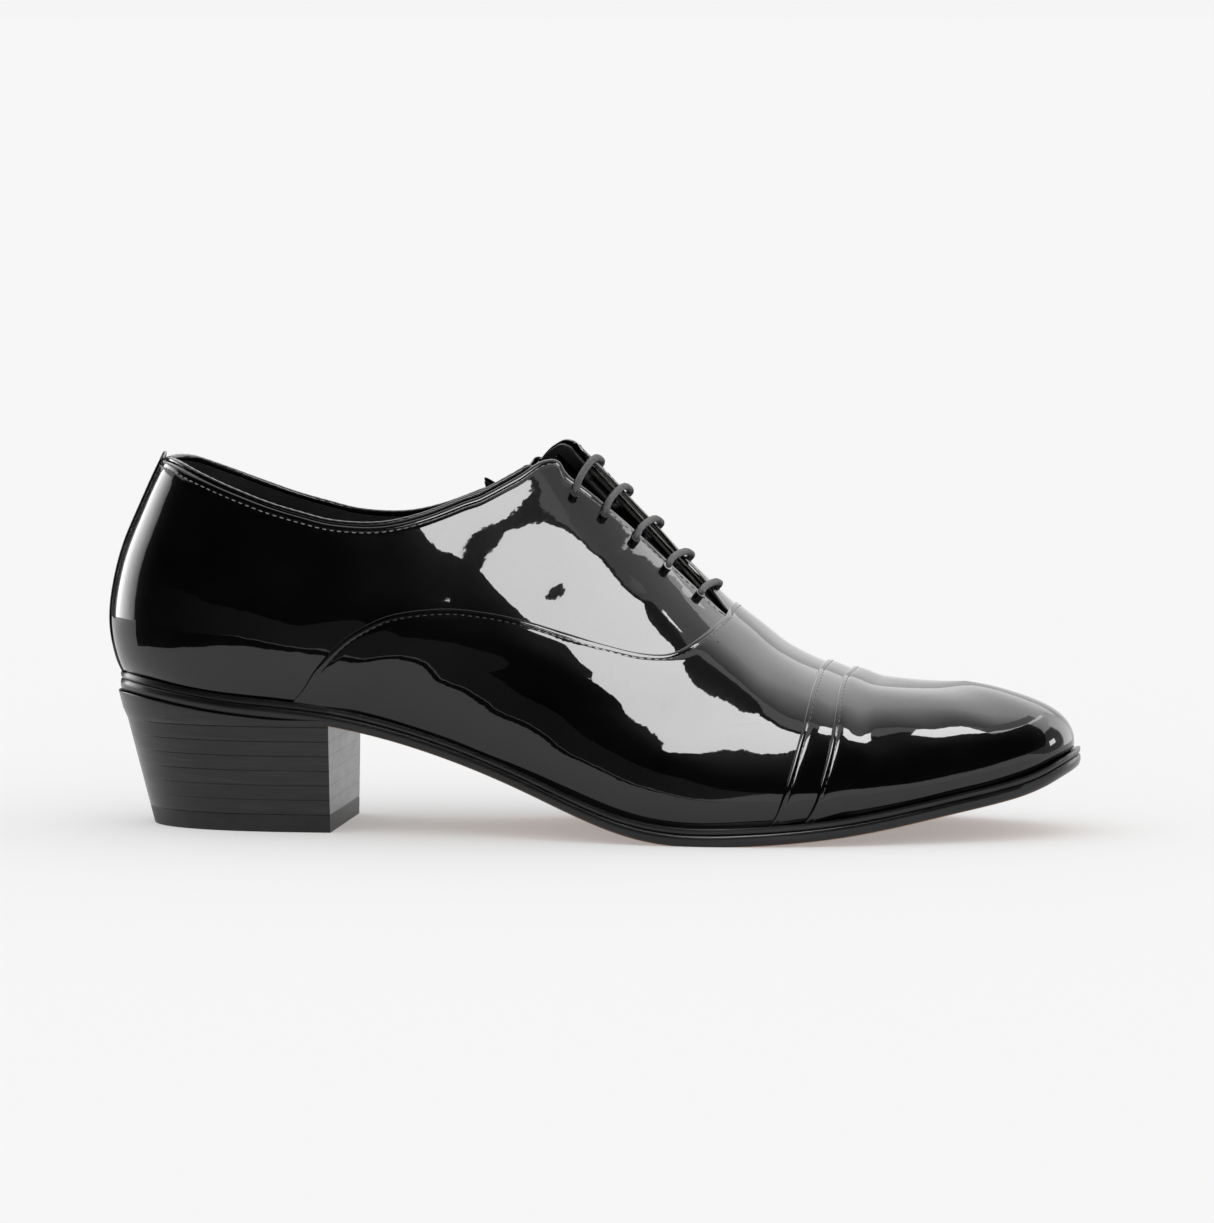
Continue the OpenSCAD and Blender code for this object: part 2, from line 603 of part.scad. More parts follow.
// The heel stack, drawn in towards the floor, with its flat front face upright.
seat_z = 40;
heel_end = 3.05;
function heel_ring(z) =
    let (
        kx = mix(heel_taper_x, 1, z / seat_z),
        ky = mix(heel_taper_y, 1, z / seat_z),
        round = [for (u = [-heel_end:heel_end / 14:heel_end + 0.01])
            let (p = plan_point(u, edge_at(abs(u))))
            [breast_x + min(p[0] - breast_x, 0) * kx, p[1] * ky]])
    concat([[breast_x, round[0][1]]], [for (k = [1:len(round) - 2]) round[k]],
        [[breast_x, round[len(round) - 1][1]]]);

module heel_slice(low, high) {
    a = heel_ring(low);
    b = heel_ring(high);
    n = len(a);
    points = concat([for (p = a) [p[0], p[1], low]], [for (p = b) [p[0], p[1], high]]);
    walls = [for (k = [0:n - 1]) let (m = (k + 1) % n) each [[k, k + n, m], [m, k + n, m + n]]];
    ends = [[for (k = [0:n - 1]) k], [for (k = [n - 1:-1:0]) n + k]];
    translate(frame_shift) polyhedron(points, concat(walls, ends));
}

lifts_top = top_piece_t + lift_count * lift_t;
module heel_lift(k) {
    low = top_piece_t + (k - 1) * lift_t;
    color("#2a2522") difference() {
        heel_slice(low, low + lift_t);
        if (low + lift_t > nail_tip) nail_bores();
    }
}

module heel_wedge() {
    color("#2a2522") difference() {
        intersection() {
            heel_slice(lifts_top, seat_z + 4);
            translate(frame_shift) slab(-80, -welt_t - outsole_t - 0.02);
        }
        nail_bores();
    }
}

module top_piece() {
    color("#141416") heel_slice(0, top_piece_t);
}

// Five nails hold the heel from inside.
nail_r = 1.2;
head_r = 2.4;
nail_tip = 14;
nail_places = [[-134, 0], [-117, -16], [-117, 16], [-96, -19], [-96, 18]];
module nail_bores(r = nail_r + 0.15) {
    for (p = nail_places)
        translate(frame_shift + [p[0], p[1], nail_tip - 0.3]) cylinder(r = r, h = 60, $fn = 24);
}

module heel_nails() {
    color("#9a9da1") for (p = nail_places) {
        head_z = feather_z(p[0]) + 0.5;
        translate(frame_shift + [p[0], p[1], nail_tip])
            cylinder(r = nail_r, h = head_z - nail_tip, $fn = 24);
        translate(frame_shift + [p[0], p[1], head_z]) cylinder(r = head_r, h = 1.2, $fn = 24);
    }
}

vamp();
toe_cap();
cap_band();
vamp_lining();
vamp_interlining();
toe_puff();
quarter_lateral();
quarter_medial();
quarter_lining_lateral();
quarter_lining_medial();
heel_counter();
back_strip();
topline_binding();
facing_stay_lateral();
facing_stay_medial();
tongue();
tongue_lining();
eyelets();
lace();
lace_tail_lateral();
lace_tail_medial();
aglets();
sock();
insole();
shank();
cork_filler();
welt();
heel_rand();
outsole();
heel_wedge();
heel_lift(1);  // heel_lift_1
heel_lift(2);  // heel_lift_2
heel_lift(3);  // heel_lift_3
heel_lift(4);  // heel_lift_4
heel_lift(5);  // heel_lift_5
heel_lift(6);  // heel_lift_6
top_piece();
heel_nails();
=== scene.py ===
"""A black patent oxford shoe with a stacked heel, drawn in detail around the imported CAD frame.

The helpers work in millimetres, and meshes are made in metres. The upper is drawn over a last.
A place on it is [station, girth]: the station goes from 0 at the heel's back to 11 at the toe's
tip, and the girth from 0 on the outer feather over 1 on the ridge to 2 on the inner feather.
"""
import math

import bmesh
import bpy
import numpy as np
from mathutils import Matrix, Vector


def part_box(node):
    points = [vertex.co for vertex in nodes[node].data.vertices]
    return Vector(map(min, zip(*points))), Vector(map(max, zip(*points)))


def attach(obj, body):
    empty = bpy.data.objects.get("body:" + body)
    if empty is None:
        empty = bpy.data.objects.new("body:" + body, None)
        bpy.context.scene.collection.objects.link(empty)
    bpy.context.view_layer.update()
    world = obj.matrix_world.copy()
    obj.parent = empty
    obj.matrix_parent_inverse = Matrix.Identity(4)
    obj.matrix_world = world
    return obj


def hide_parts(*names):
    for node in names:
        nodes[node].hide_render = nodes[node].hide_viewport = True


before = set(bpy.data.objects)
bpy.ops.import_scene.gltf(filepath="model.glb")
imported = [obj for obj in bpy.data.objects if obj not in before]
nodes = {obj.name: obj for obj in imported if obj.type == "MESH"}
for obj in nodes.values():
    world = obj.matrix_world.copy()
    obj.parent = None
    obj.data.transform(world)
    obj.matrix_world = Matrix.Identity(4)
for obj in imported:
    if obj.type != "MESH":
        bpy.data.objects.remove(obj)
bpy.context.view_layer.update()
SHOE = "shoe"
TONGUE = "tongue"
MM = 0.001
FRAME_SHIFT = np.array([2.0, 2.1, 0.0])


# ---------------------------------------------------------------- camera

def make_camera():
    """Seven degrees to the toe side of a plain side view, a little above it, from far off."""
    azimuth, elevation, distance = math.radians(7), math.radians(4.5), 2.4
    target = Vector((0.005, 0.0021, 0.066))
    back = Vector((math.sin(azimuth) * math.cos(elevation),
                   -math.cos(azimuth) * math.cos(elevation), math.sin(elevation)))
    data = bpy.data.cameras.new("camera")
    data.lens = 230.8
    data.clip_start, data.clip_end = 0.05, 200
    camera = bpy.data.objects.new("camera", data)
    bpy.context.scene.collection.objects.link(camera)
    camera.location = target + distance * back
    camera.rotation_euler = (-back).to_track_quat("-Z", "Y").to_euler()
    bpy.context.scene.camera = camera


make_camera()


# ---------------------------------------------------------------- the last and its layers

# The last's stations from the heel's back to the toe's tip. Each has five control points:
# feather, bulge, side, shoulder and ridge, as [x, y outer, y inner, z].
LAST_NET = [
    [[-147, 0, 0, 47], [-153, 0, 0, 59], [-151, 0, 0, 82], [-136, 0, 0, 108], [-124, 0, 0, 132]],
    [[-136, -20, 20, 46], [-141, -24, 24, 57], [-139, -23, 23, 80], [-127, -17, 17, 106],
     [-118, -14, 14, 130]],
    [[-110, -30, 29, 41.5], [-111, -35, 34, 53], [-112, -32, 32, 77], [-108, -23, 24, 103],
     [-104, -19, 19, 128]],
    [[-80, -30, 27, 40], [-80, -36, 33, 51], [-81, -33, 33, 71], [-82, -24, 26, 99],
     [-84, -20, 20, 128]],
    [[-48, -30.5, 23, 32], [-46, -36, 32, 43], [-49, -34, 34, 67], [-55, -23, 25, 99],
     [-60, -15, 19, 130]],
    [[-15, -38.5, 24.5, 20], [-12, -42, 37, 31], [-17, -38, 41, 60], [-29, -14, 22, 107],
     [-32, 5, 5, 138]],
    [[18, -49, 38, 5], [21, -53, 45, 16], [13, -44, 43, 45], [-3, -4, 19, 110], [-3, 8, 8, 110]],
    [[50, -51.5, 46, 5.5], [53, -55.5, 51, 14], [46, -48, 48, 32], [36, -9, 23, 66],
     [36, 8, 8, 66]],
    [[83, -44.5, 44.5, 8], [85, -48, 48, 15], [80, -42, 43, 29], [67, -16, 25, 45.5],
     [67, 6, 6, 45.5]],
    [[113, -31, 34.5, 15], [115, -33.5, 37, 21], [108, -28, 33, 33], [95, -15, 19, 42.5],
     [95, 4, 4, 42.5]],
    [[135, -17.5, 22, 19], [138, -19, 24, 26], [130, -14.5, 21, 36], [111, -7, 12, 42],
     [109, 3, 3, 42.5]],
    [[145, 3, 3, 25], [148, 3, 3, 31], [142, 3, 3, 38], [123, 3, 3, 41.5], [114, 3, 3, 42.5]]]
TOE = len(LAST_NET) - 1
COLUMNS = 2 * TOE
# The net all round the shoe: along the outer side to the toe, and back along the inner side.
GRID = np.array([[(x, y_outer if c <= TOE else y_inner, z)
                  for x, y_outer, y_inner, z in LAST_NET[min(c, COLUMNS - c)]]
                 for c in range(COLUMNS)], float)


# The last is a cubic spline surface, closed along the net and clamped up its sides. These are
# the weights of its control points, and their slopes.

def along(t):
    return np.stack([(1 - t) ** 3 / 6, (3 * t ** 3 - 6 * t ** 2 + 4) / 6,
                     (-3 * t ** 3 + 3 * t ** 2 + 3 * t + 1) / 6, t ** 3 / 6], -1)


def along_slope(t):
    return np.stack([-(1 - t) ** 2 / 2, (3 * t ** 2 - 4 * t) / 2,
                     (-3 * t ** 2 + 2 * t + 1) / 2, t ** 2 / 2], -1)


def half_weights(a):
    return np.stack([(1 - a) ** 3, a * (7 * a * a - 18 * a + 12) / 4,
                     a * a * (3 - 2 * a) / 2, a ** 3 / 4, 0 * a], -1)


def half_slopes(a):
    return 2 * np.stack([-3 * (1 - a) ** 2, (21 * a * a - 36 * a + 12) / 4,
                         3 * a - 3 * a * a, 3 * a * a / 4, 0 * a], -1)


def up(w):
    low = (w < 0.5)[..., None]
    return np.where(low, half_weights(2 * w), half_weights(2 - 2 * w)[..., ::-1])


def up_slope(w):
    low = (w < 0.5)[..., None]
    return np.where(low, half_slopes(2 * w), -half_slopes(2 - 2 * w)[..., ::-1])


def blend(u, a, b):
    first = np.floor(u).astype(int) - 1
    columns = GRID[(first[..., None] + np.arange(4)) % COLUMNS]
    return np.einsum("...k,...r,...krc->...c", a, b, columns)


def unit(v):
    return v / np.maximum(np.linalg.norm(v, axis=-1, keepdims=True), 1e-12)


def smooth(x):
    t = np.clip(x, 0, 1)
    return t * t * (3 - 2 * t)


def mix(a, b, t):
    return a + (b - a) * t


def feather(u):
    u = np.asarray(u, float)
    return blend(u, along(u - np.floor(u)), up(0 * u))


def feather_z(x):
    """Height of the feather line over x, in the last's own place."""
    line = feather(np.arange(0, TOE + 0.01, 0.1))
    slope = (line[-1, 2] - line[-6, 2]) / (line[-1, 0] - line[-6, 0])
    z = np.interp(x, line[:, 0], line[:, 2])
    return z + np.maximum(x - line[-1, 0], 0) * slope


# The upper's lower edge dips a little into the welt, so that no light shows under it.
FOOT_DIP = -0.3
FOOT_BLEND = 0.12


def bare_skin(places):
    """Points on the last and its outward directions, before the foot is levelled."""
    places = np.asarray(places, float)
    over = places[..., 1] > 1
    u = np.where(over, -places[..., 0], places[..., 0])
    w = np.maximum(np.where(over, 2 - places[..., 1], places[..., 1]), 0)
    t = u - np.floor(u)
    point = blend(u, along(t), up(w))
    normal = np.cross(blend(u, along_slope(t), up(w)), blend(u, along(t), up_slope(w)))
    normal = unit(normal + np.array([0, 0, 20.0]))
    level = smooth(w / FOOT_BLEND)
    normal[..., 2] *= level
    return point, unit(normal), level


def skin(places, height):
    """Points at a height over the last."""
    point, normal, level = bare_skin(places)
    raised = point + np.asarray(height, float)[..., None] * normal
    lift = feather_z(raised[..., 0]) - feather_z(point[..., 0]) + FOOT_DIP
    raised[..., 2] += lift * (1 - level)
    return raised + FRAME_SHIFT


def skin_normal(places):
    return bare_skin(places)[1]


def curve(points, steps):
    """A smooth curve through points, with an even number of steps between them."""
    points = np.asarray(points, float)
    n = len(points) - 1
    padded = np.vstack([2 * points[0] - points[1], points, 2 * points[-1] - points[-2]])
    t = np.linspace(0, n, steps + 1)
    i = np.minimum(t.astype(int), n - 1)
    f = (t - i)[:, None]
    p0, p1, p2, p3 = (padded[i + k] for k in range(4))
    return p1 + f * ((p2 - p0) / 2 + f * ((p0 - 2.5 * p1 + 2 * p2 - 0.5 * p3)
                                          + f * (-0.5 * p0 + 1.5 * p1 - 1.5 * p2 + 0.5 * p3)))


def across(points):
    points = np.array(points, float)
    points[:, 1] = 2 - points[:, 1]
    return points


def whole(half):
    """An edge that crosses the shoe, from the outer to the inner feather."""
    return np.vstack([half, across(half)[-2::-1]])


def shifted(points, du):
    return np.asarray(points, float) + np.array([du, 0.0])


# Seams and edges as [station, girth], the same as in the CAD model.
VAMP_EDGE = [[2.7, 0], [2.83, 0.09], [2.97, 0.19], [3.22, 0.32], [3.54, 0.42], [3.83, 0.47],
             [4.25, 0.505], [4.64, 0.513], [5.03, 0.513], [5.42, 0.512], [5.82, 0.518],
             [6.21, 0.54], [6.52, 0.585], [6.8, 0.68], [7.03, 0.81], [7.1, 0.9], [7.13, 1]]
UNDER_EDGE = [[2.95, 0], [3.07, 0.075], [3.2, 0.16], [3.45, 0.27], [3.74, 0.355], [3.98, 0.4],
              [4.3, 0.435], [4.66, 0.447], [5.03, 0.45], [5.42, 0.449], [5.86, 0.455],
              [6.28, 0.475], [6.66, 0.525], [7.0, 0.63], [7.22, 0.78], [7.3, 0.88], [7.34, 1]]
TOPLINE = [[0, 0.83], [0.4, 0.836], [0.86, 0.836], [1.42, 0.818], [1.96, 0.793], [2.39, 0.771],
           [2.78, 0.755], [3.15, 0.741], [3.64, 0.741], [4.09, 0.758], [4.55, 0.783],
           [4.8, 0.797], [5.17, 0.836]]
OUTER_CORNER = [[5.46, 0.885], [5.61, 0.9], [5.72, 0.875]]
INNER_CORNER = [[5.5, 1.08], [5.68, 1.02], [5.82, 0.988]]
OUTER_FACING = [[6.03, 0.862], [6.32, 0.862], [6.6, 0.862], [6.85, 0.862], [7.08, 0.862]]
INNER_FACING = [[6.0, 0.983], [6.35, 0.988], [6.66, 0.985], [6.88, 0.96], [7.08, 0.896]]
CAP_EDGE = [[7.53, 0], [7.57, 0.07], [7.63, 0.145], [7.69, 0.235], [7.86, 0.425], [8.0, 0.57],
            [8.11, 0.68], [8.24, 0.82], [8.36, 1]]
BAND_EDGE = [[7.23, 0], [7.28, 0.085], [7.35, 0.19], [7.51, 0.37], [7.66, 0.51], [7.82, 0.66],
             [7.96, 0.8], [8.07, 1]]
LINING_EDGE = [[4.6, 0], [4.68, 0.045], [4.78, 0.095], [4.9, 0.15], [5.3, 0.3], [5.8, 0.45],
               [6.3, 0.58], [6.8, 0.72], [7.13, 0.86]]
HEEL_FEATHER = [[u, 0] for u in (0, 0.4, 0.86, 1.4, 1.9, 2.4)]

# Heights of the layers over the last. The laps lie a little closer than in the CAD model,
# because their leather is pared thin at the seams.
LINING = (0.0, 0.8)
SKIN = (2.2, 3.2)
LAP = (3.25, 3.9)
BAND = (3.25, 4.1)
CAP = (3.45, 4.45)


# ---------------------------------------------------------------- unevenness of the leather

def waves(seed, shortest, longest, height, count):
    """Seeded waves in all directions, for leather that is never quite even."""
    draw = np.random.default_rng(seed)
    lengths = np.exp(draw.uniform(math.log(shortest), math.log(longest), count))
    ways = unit(draw.normal(size=(count, 3)))
    return ways * (2 * math.pi / lengths)[:, None], draw.uniform(0, 6.3, count), height


STRETCH_WAVES = waves(5, 16, 42, 0.035, 12)
RIPPLE_WAVES = waves(8, 5, 10, 0.0012, 14)


def unevenness(points, amount=1.0):
    """Height in millimetres to add to points on the leather."""
    total = np.zeros(points.shape[:-1])
    for ways, phases, height in (STRETCH_WAVES, RIPPLE_WAVES):
        total += height * np.sin(points @ ways.T + phases).sum(-1)
    return amount * total


# ---------------------------------------------------------------- meshes

def grid_faces(rows, columns, start=0, flipped=False):
    """Quads over a grid of points, row after row."""
    a = (start + np.arange((rows - 1) * columns)).reshape(-1, columns)[:, :-1].ravel()
    quads = np.stack([a, a + columns, a + columns + 1, a + 1], -1)
    return quads[:, ::-1] if flipped else quads


def ring_faces(rings, around, start=0):
    """Quads between closed rings of points, ring after ring."""
    a = (start + np.arange((rings - 1) * around)).reshape(-1, around)
    b = np.roll(a, -1, axis=1)
    return np.stack([a, b, b + around, a + around], -1).reshape(-1, 4)


def capped_faces(rings, around):
    """Faces of a closed tube. The centres of its two ends come after its rings."""
    i, centre = np.arange(around), np.full(around, rings * around)
    after, last = (i + 1) % around, (rings - 1) * around
    return [*ring_faces(rings, around), *np.stack([centre, after, i], -1),
            *np.stack([centre + 1, last + i, last + after], -1)]


def make_object(name, points, faces, merge=0.0, sharp=40):
    """A smooth-shaded mesh object, from points in millimetres."""
    mesh = bpy.data.meshes.new(name)
    mesh.from_pydata(np.asarray(points, float) * MM, [], [list(map(int, f)) for f in faces])
    if merge:
        made = bmesh.new()
        made.from_mesh(mesh)
        bmesh.ops.remove_doubles(made, verts=made.verts, dist=merge * MM)
        bmesh.ops.recalc_face_normals(made, faces=made.faces)
        made.to_mesh(mesh)
        made.free()
    mesh.validate()
    mesh.shade_smooth()
    mesh.set_sharp_from_angle(angle=math.radians(sharp))
    piece = bpy.data.objects.new(name, mesh)
    bpy.context.scene.collection.objects.link(piece)
    return piece


def finish_piece(piece, look, replaced=(), body=SHOE):
    """Look and body of a piece, and the CAD nodes that it stands for. A look is (material, slot)."""
    piece.data.materials.clear()
    piece.data.materials.append(look[0])
    if replaced:
        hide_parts(*replaced)
    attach(piece, body)


def shell_faces(rows, columns, folded=False):
    """Faces of a closed sheet: outer side, inner side, and the edges unless the far one folds."""
    size, last, end = rows * columns, (rows - 1) * columns, columns - 1
    i, j = np.arange(end), np.arange(rows - 1) * columns
    faces = [grid_faces(rows, columns), grid_faces(rows, columns, size, True),
             np.stack([i, i + 1, size + i + 1, size + i], -1)]
    if not folded:
        faces.append(np.stack([last + i + 1, last + i, size + last + i, size + last + i + 1], -1))
    faces.append(np.stack([size + j, size + j + columns, j + columns, j], -1))
    faces.append(np.stack([j + end, j + columns + end, size + j + columns + end,
                           size + j + end], -1))
    return np.vstack(faces)


def sheet(node, rows, look, folded=False, uneven=1.0):
    """A closed leather over the last, for a CAD node. Rows are (places, inner and outer height)."""
    places = np.array([r[0] for r in rows])
    m, n = places.shape[:2]
    inner, outer = (np.array([np.broadcast_to(r[k], n) for r in rows]) for k in (1, 2))
    bump = unevenness(skin(places, np.zeros((m, n))), uneven)
    points = np.vstack([skin(places, outer + bump).reshape(-1, 3),
                        skin(places, inner + bump).reshape(-1, 3)])
    piece = make_object(node + "_leather", points, shell_faces(m, n, folded), merge=0.002)
    finish_piece(piece, look, [node])
    return piece


def per_mm(edge, inward):
    """How far a place moves from edge to inward for each millimetre away from the edge."""
    step = 0.03
    a = skin(edge, 3.0 + 0 * edge[:, 0])
    b = skin(mix(edge, inward, step), 3.0 + 0 * edge[:, 0])
    way = unit(np.gradient(a, axis=0))
    off = (b - a) - ((b - a) * way).sum(-1, keepdims=True) * way
    length = np.linalg.norm(off, axis=-1)
    length = np.convolve(np.pad(length, 4, mode="edge"), np.ones(9) / 9, mode="valid")
    return step / np.maximum(length, 0.02)


def beside(edge, inward, distance):
    """Places at a distance in millimetres from an edge."""
    return mix(edge, inward, (distance * per_mm(edge, inward))[:, None])


def rounding(radius, steps=4):
    """A rounded edge, as (distance from the edge, drop) pairs."""
    turns = np.linspace(0, math.pi / 2, steps)
    return [(radius * (1 - math.cos(t)), radius * (1 - math.sin(t))) for t in turns]


def groove(at, half_width, depth):
    """A stitched line pressed into the leather, as (distance, drop) pairs."""
    shape = ((-1, 0), (-0.55, 0.5), (-0.2, 0.95), (0.2, 0.95), (0.55, 0.5), (1, 0))
    return [(at + k * half_width, drop * depth) for k, drop in shape]


def edge_rows(edge, inward, inner, outer, profile):
    """Rows of a sheet along its edge, whose surface drops by the profile."""
    return [(beside(edge, inward, s), inner, outer - drop) for s, drop in profile]


def rows_between(start, end, count, inner, outer):
    """More rows from one line to another. Heights may change along the way."""
    return [(mix(start, end, f), *(height(f) if callable(height) else height
                                   for height in (inner, outer)))
            for f in np.arange(1, count + 1) / count]


# ---------------------------------------------------------------- materials

class Look:
    """A material in the making, whose patterns lie in the object's own space."""

    def __init__(self, name):
        self.material = bpy.data.materials.new(name)
        self.material.use_nodes = True
        self.nodes, self.links = self.material.node_tree.nodes, self.material.node_tree.links
        self.shader = self.nodes["Principled BSDF"]

    def node(self, kind, source, socket, values):
        """A node that is fed by a source, with its other values."""
        made = self.nodes.new("ShaderNode" + kind)
        self.links.new(source, made.inputs[socket])
        for key, value in values.items():
            made.inputs[key].default_value = value
        return made

    def place(self, space="Object"):
        return self.nodes.new("ShaderNodeTexCoord").outputs[space]

    def noise(self, scale, detail=3.0, rough=0.5, stretch=(1, 1, 1)):
        where = self.node("Mapping", self.place(), "Vector", {"Scale": stretch}).outputs["Vector"]
        return self.node("TexNoise", where, "Vector", {
            "Scale": scale, "Detail": detail, "Roughness": rough}).outputs["Fac"]

    def cells(self, scale):
        return self.node("TexVoronoi", self.place(), "Vector", {"Scale": scale}).outputs["Distance"]

    def colour(self, value, *stops):
        """Base colour along a value, from (place, colour) stops."""
        ramp = self.node("ValToRGB", value, "Fac", {})
        elements = ramp.color_ramp.elements
        for element, (place, colour) in zip((elements[0], elements[1]), (stops[0], stops[-1])):
            element.position, element.color = place, (*colour, 1)
        for place, colour in stops[1:-1]:
            elements.new(place).color = (*colour, 1)
        self.links.new(ramp.outputs["Color"], self.shader.inputs["Base Color"])

    def roughness(self, value, low, high):
        spread = self.node("MapRange", value, "Value", {"To Min": low, "To Max": high})
        self.links.new(spread.outputs["Result"], self.shader.inputs["Roughness"])

    def bumps(self, *heights, socket="Normal"):
        """Bumps one after another, each as (height, strength, distance in metres)."""
        normal = None
        for height, strength, distance in heights:
            bump = self.node("Bump", height, "Height",
                             {"Strength": strength, "Distance": distance})
            if normal is not None:
                self.links.new(normal, bump.inputs["Normal"])
            normal = bump.outputs["Normal"]
        self.links.new(normal, self.shader.inputs[socket])

    def done(self, values):
        for key, value in values.items():
            self.shader.inputs[key].default_value = value
        return self.material


def patent_leather(name):
    """Black leather under a clear lacquer, with a fine orange peel and a few hazy scuffs."""
    look = Look(name)
    look.colour(look.noise(55, 4), (0.3, (0.0008, 0.0008, 0.0009)), (0.7, (0.002, 0.002, 0.0022)))
    look.roughness(look.noise(120, 5, 0.6), 0.2, 0.34)
    peel = look.noise(330, 1.5)
    look.bumps((look.noise(1900, 2), 0.1, 0.0001), (peel, 0.06, 0.0004))
    look.bumps((peel, 0.035, 0.0004), socket="Coat Normal")
    return look.done({"Specular IOR Level": 0.04, "Coat Weight": 1.0, "Coat Roughness": 0.025,
                      "Coat IOR": 1.52})


def plain_leather(name, dark, light, roughness, grain_scale=1300, grain=0.35):
    """Leather with a pebbled grain and a cloudy colour."""
    look = Look(name)
    look.colour(look.noise(70, 6, 0.6), (0.3, dark), (0.72, light))
    fine = look.noise(grain_scale * 1.7, 3)
    look.roughness(fine, roughness - 0.07, roughness + 0.1)
    look.bumps((look.cells(grain_scale), grain, 0.0002), (fine, 0.2, 0.0001))
    return look.done({"Specular IOR Level": 0.4})


def layered_leather(name, light, roughness, coat):
    """Burnished edge of stacked leather: fine lines along the layers, with tool marks."""
    look = Look(name)
    dark = np.full(3, 0.003)
    lines = look.noise(900, 4, 0.6, (0.06, 0.06, 1.0))
    marks = look.noise(260, 3, 0.5, (0.3, 0.3, 1.0))
    look.colour(lines, (0.35, dark), (0.55, mix(dark, np.array(light), 0.3)), (0.75, light))
    look.roughness(marks, roughness - 0.1, roughness + 0.14)
    look.bumps((lines, 0.12, 0.0002), (marks, 0.08, 0.0003))
    return look.done({"Specular IOR Level": 0.2, "Coat Weight": coat, "Coat Roughness": 0.22})


def sole_leather(name):
    """The outsole's own tan leather, as its underside shows it."""
    look = Look(name)
    look.colour(look.noise(240, 6, 0.65, (0.5, 1.0, 1.0)), (0.3, (0.22, 0.1, 0.04)),
                (0.7, (0.42, 0.22, 0.1)))
    scuff = look.noise(900, 4, 0.6, (0.2, 1.0, 1.0))
    look.roughness(scuff, 0.3, 0.5)
    look.bumps((scuff, 0.15, 0.0002))
    return look.material


def cord_fibre(name, dark, light, roughness, sheen):
    """Waxed cord or thread: fine fibres with a dull shine."""
    look = Look(name)
    fibre = look.noise(1500, 3, 0.6)
    look.colour(fibre, (0.3, dark), (0.7, light))
    look.roughness(fibre, roughness - 0.08, roughness + 0.12)
    look.bumps((fibre, 0.35, 0.0001))
    return look.done({"Sheen Weight": sheen, "Sheen Roughness": 0.4})


def woven_cloth(name, colour):
    """Plain weave: two crossed sets of fine waves."""
    look = Look(name)
    heights = []
    for way in ("X", "Z"):
        wave = look.node("TexWave", look.place(), "Vector", {"Scale": 700, "Distortion": 0.6})
        wave.bands_direction = way
        heights.append((wave.outputs["Fac"], 0.4, 0.0002))
    look.colour(look.noise(800), (0.3, [0.75 * c for c in colour]), (0.7, colour))
    look.bumps(*heights)
    return look.done({"Roughness": 0.85})


def hazy(name, colour, roughness, metallic):
    """Metal, enamel or plastic with a faint haze."""
    look = Look(name)
    haze = look.noise(1200, 3, 0.5, (1, 1, 0.2))
    look.colour(haze, (0.3, [0.8 * c for c in colour]), (0.7, colour))
    look.roughness(haze, roughness - 0.08, roughness + 0.12)
    return look.done({"Metallic": metallic})


def crumbly(name, dark, light, scale):
    """Cork paste or raw fibre: coarse grains of two tones."""
    look = Look(name)
    grains = look.cells(scale)
    look.colour(grains, (0.1, dark), (0.8, light))
    look.bumps((grains, 0.5, 0.0004))
    return look.done({"Roughness": 0.9})


# The looks of the drawn pieces hold their slot as well.
PATENT = patent_leather("patent_leather"), "upper_leather"
LINING_BLACK = (plain_leather("lining_black", (0.008, 0.0075, 0.007), (0.02, 0.019, 0.018), 0.5),
                "lining_leather")
EDGE_BLACK = layered_leather("edge_black", (0.012, 0.012, 0.012), 0.34, 0.5), "sole_leather"
HEEL_BLACK = layered_leather("heel_black", (0.016, 0.015, 0.015), 0.42, 0.6), "heel_leather"
SOLE_TAN = sole_leather("sole_underside")
RUBBER = (plain_leather("heel_rubber", (0.007, 0.007, 0.007), (0.016, 0.016, 0.016), 0.5, 2500, 0.2),
          "top_rubber")
LACE = cord_fibre("lace_cord", (0.006, 0.006, 0.007), (0.018, 0.018, 0.02), 0.5, 0.06), "lace_cord"
BLACK_THREAD = cord_fibre("black_thread", (0.008, 0.008, 0.009), (0.03, 0.03, 0.033), 0.45, 0.25)
PALE_THREAD = cord_fibre("pale_thread", (0.1, 0.1, 0.1), (0.25, 0.25, 0.245), 0.5, 0.25)
STIFFENER = crumbly("raw_stiffener", (0.3, 0.2, 0.1), (0.52, 0.38, 0.22), 900)
INSOLE_TAN = plain_leather("insole_tan", (0.32, 0.19, 0.09), (0.5, 0.33, 0.18), 0.6)
CORK = crumbly("cork_paste", (0.12, 0.06, 0.03), (0.38, 0.22, 0.11), 500)
CLOTH = woven_cloth("stay_cloth", (0.62, 0.58, 0.5))
STEEL = hazy("shank_steel", (0.5, 0.51, 0.54), 0.35, 1.0)
NAIL = hazy("nail_steel", (0.45, 0.44, 0.43), 0.4, 1.0)
ENAMEL = hazy("black_enamel", (0.02, 0.02, 0.022), 0.25, 0.0), "eyelet_metal"
GLOSSY_TIP = hazy("tip_plastic", (0.015, 0.015, 0.016), 0.2, 0.0), "aglet_plastic"


# ---------------------------------------------------------------- the lace

LACE_R = 1.1
OUTER_EYELETS = [[5.73, 0.825], [6.0, 0.815], [6.27, 0.812], [6.54, 0.812], [6.82, 0.82]]
INNER_EYELETS = [[5.95, 1.03], [6.2, 1.035], [6.46, 1.035], [6.72, 1.03], [6.97, 1.01]]
OVER_FACING = 4.8
UNDER_FACING = -2.3
TIP_LENGTH = 17
TIP_R = 1.25
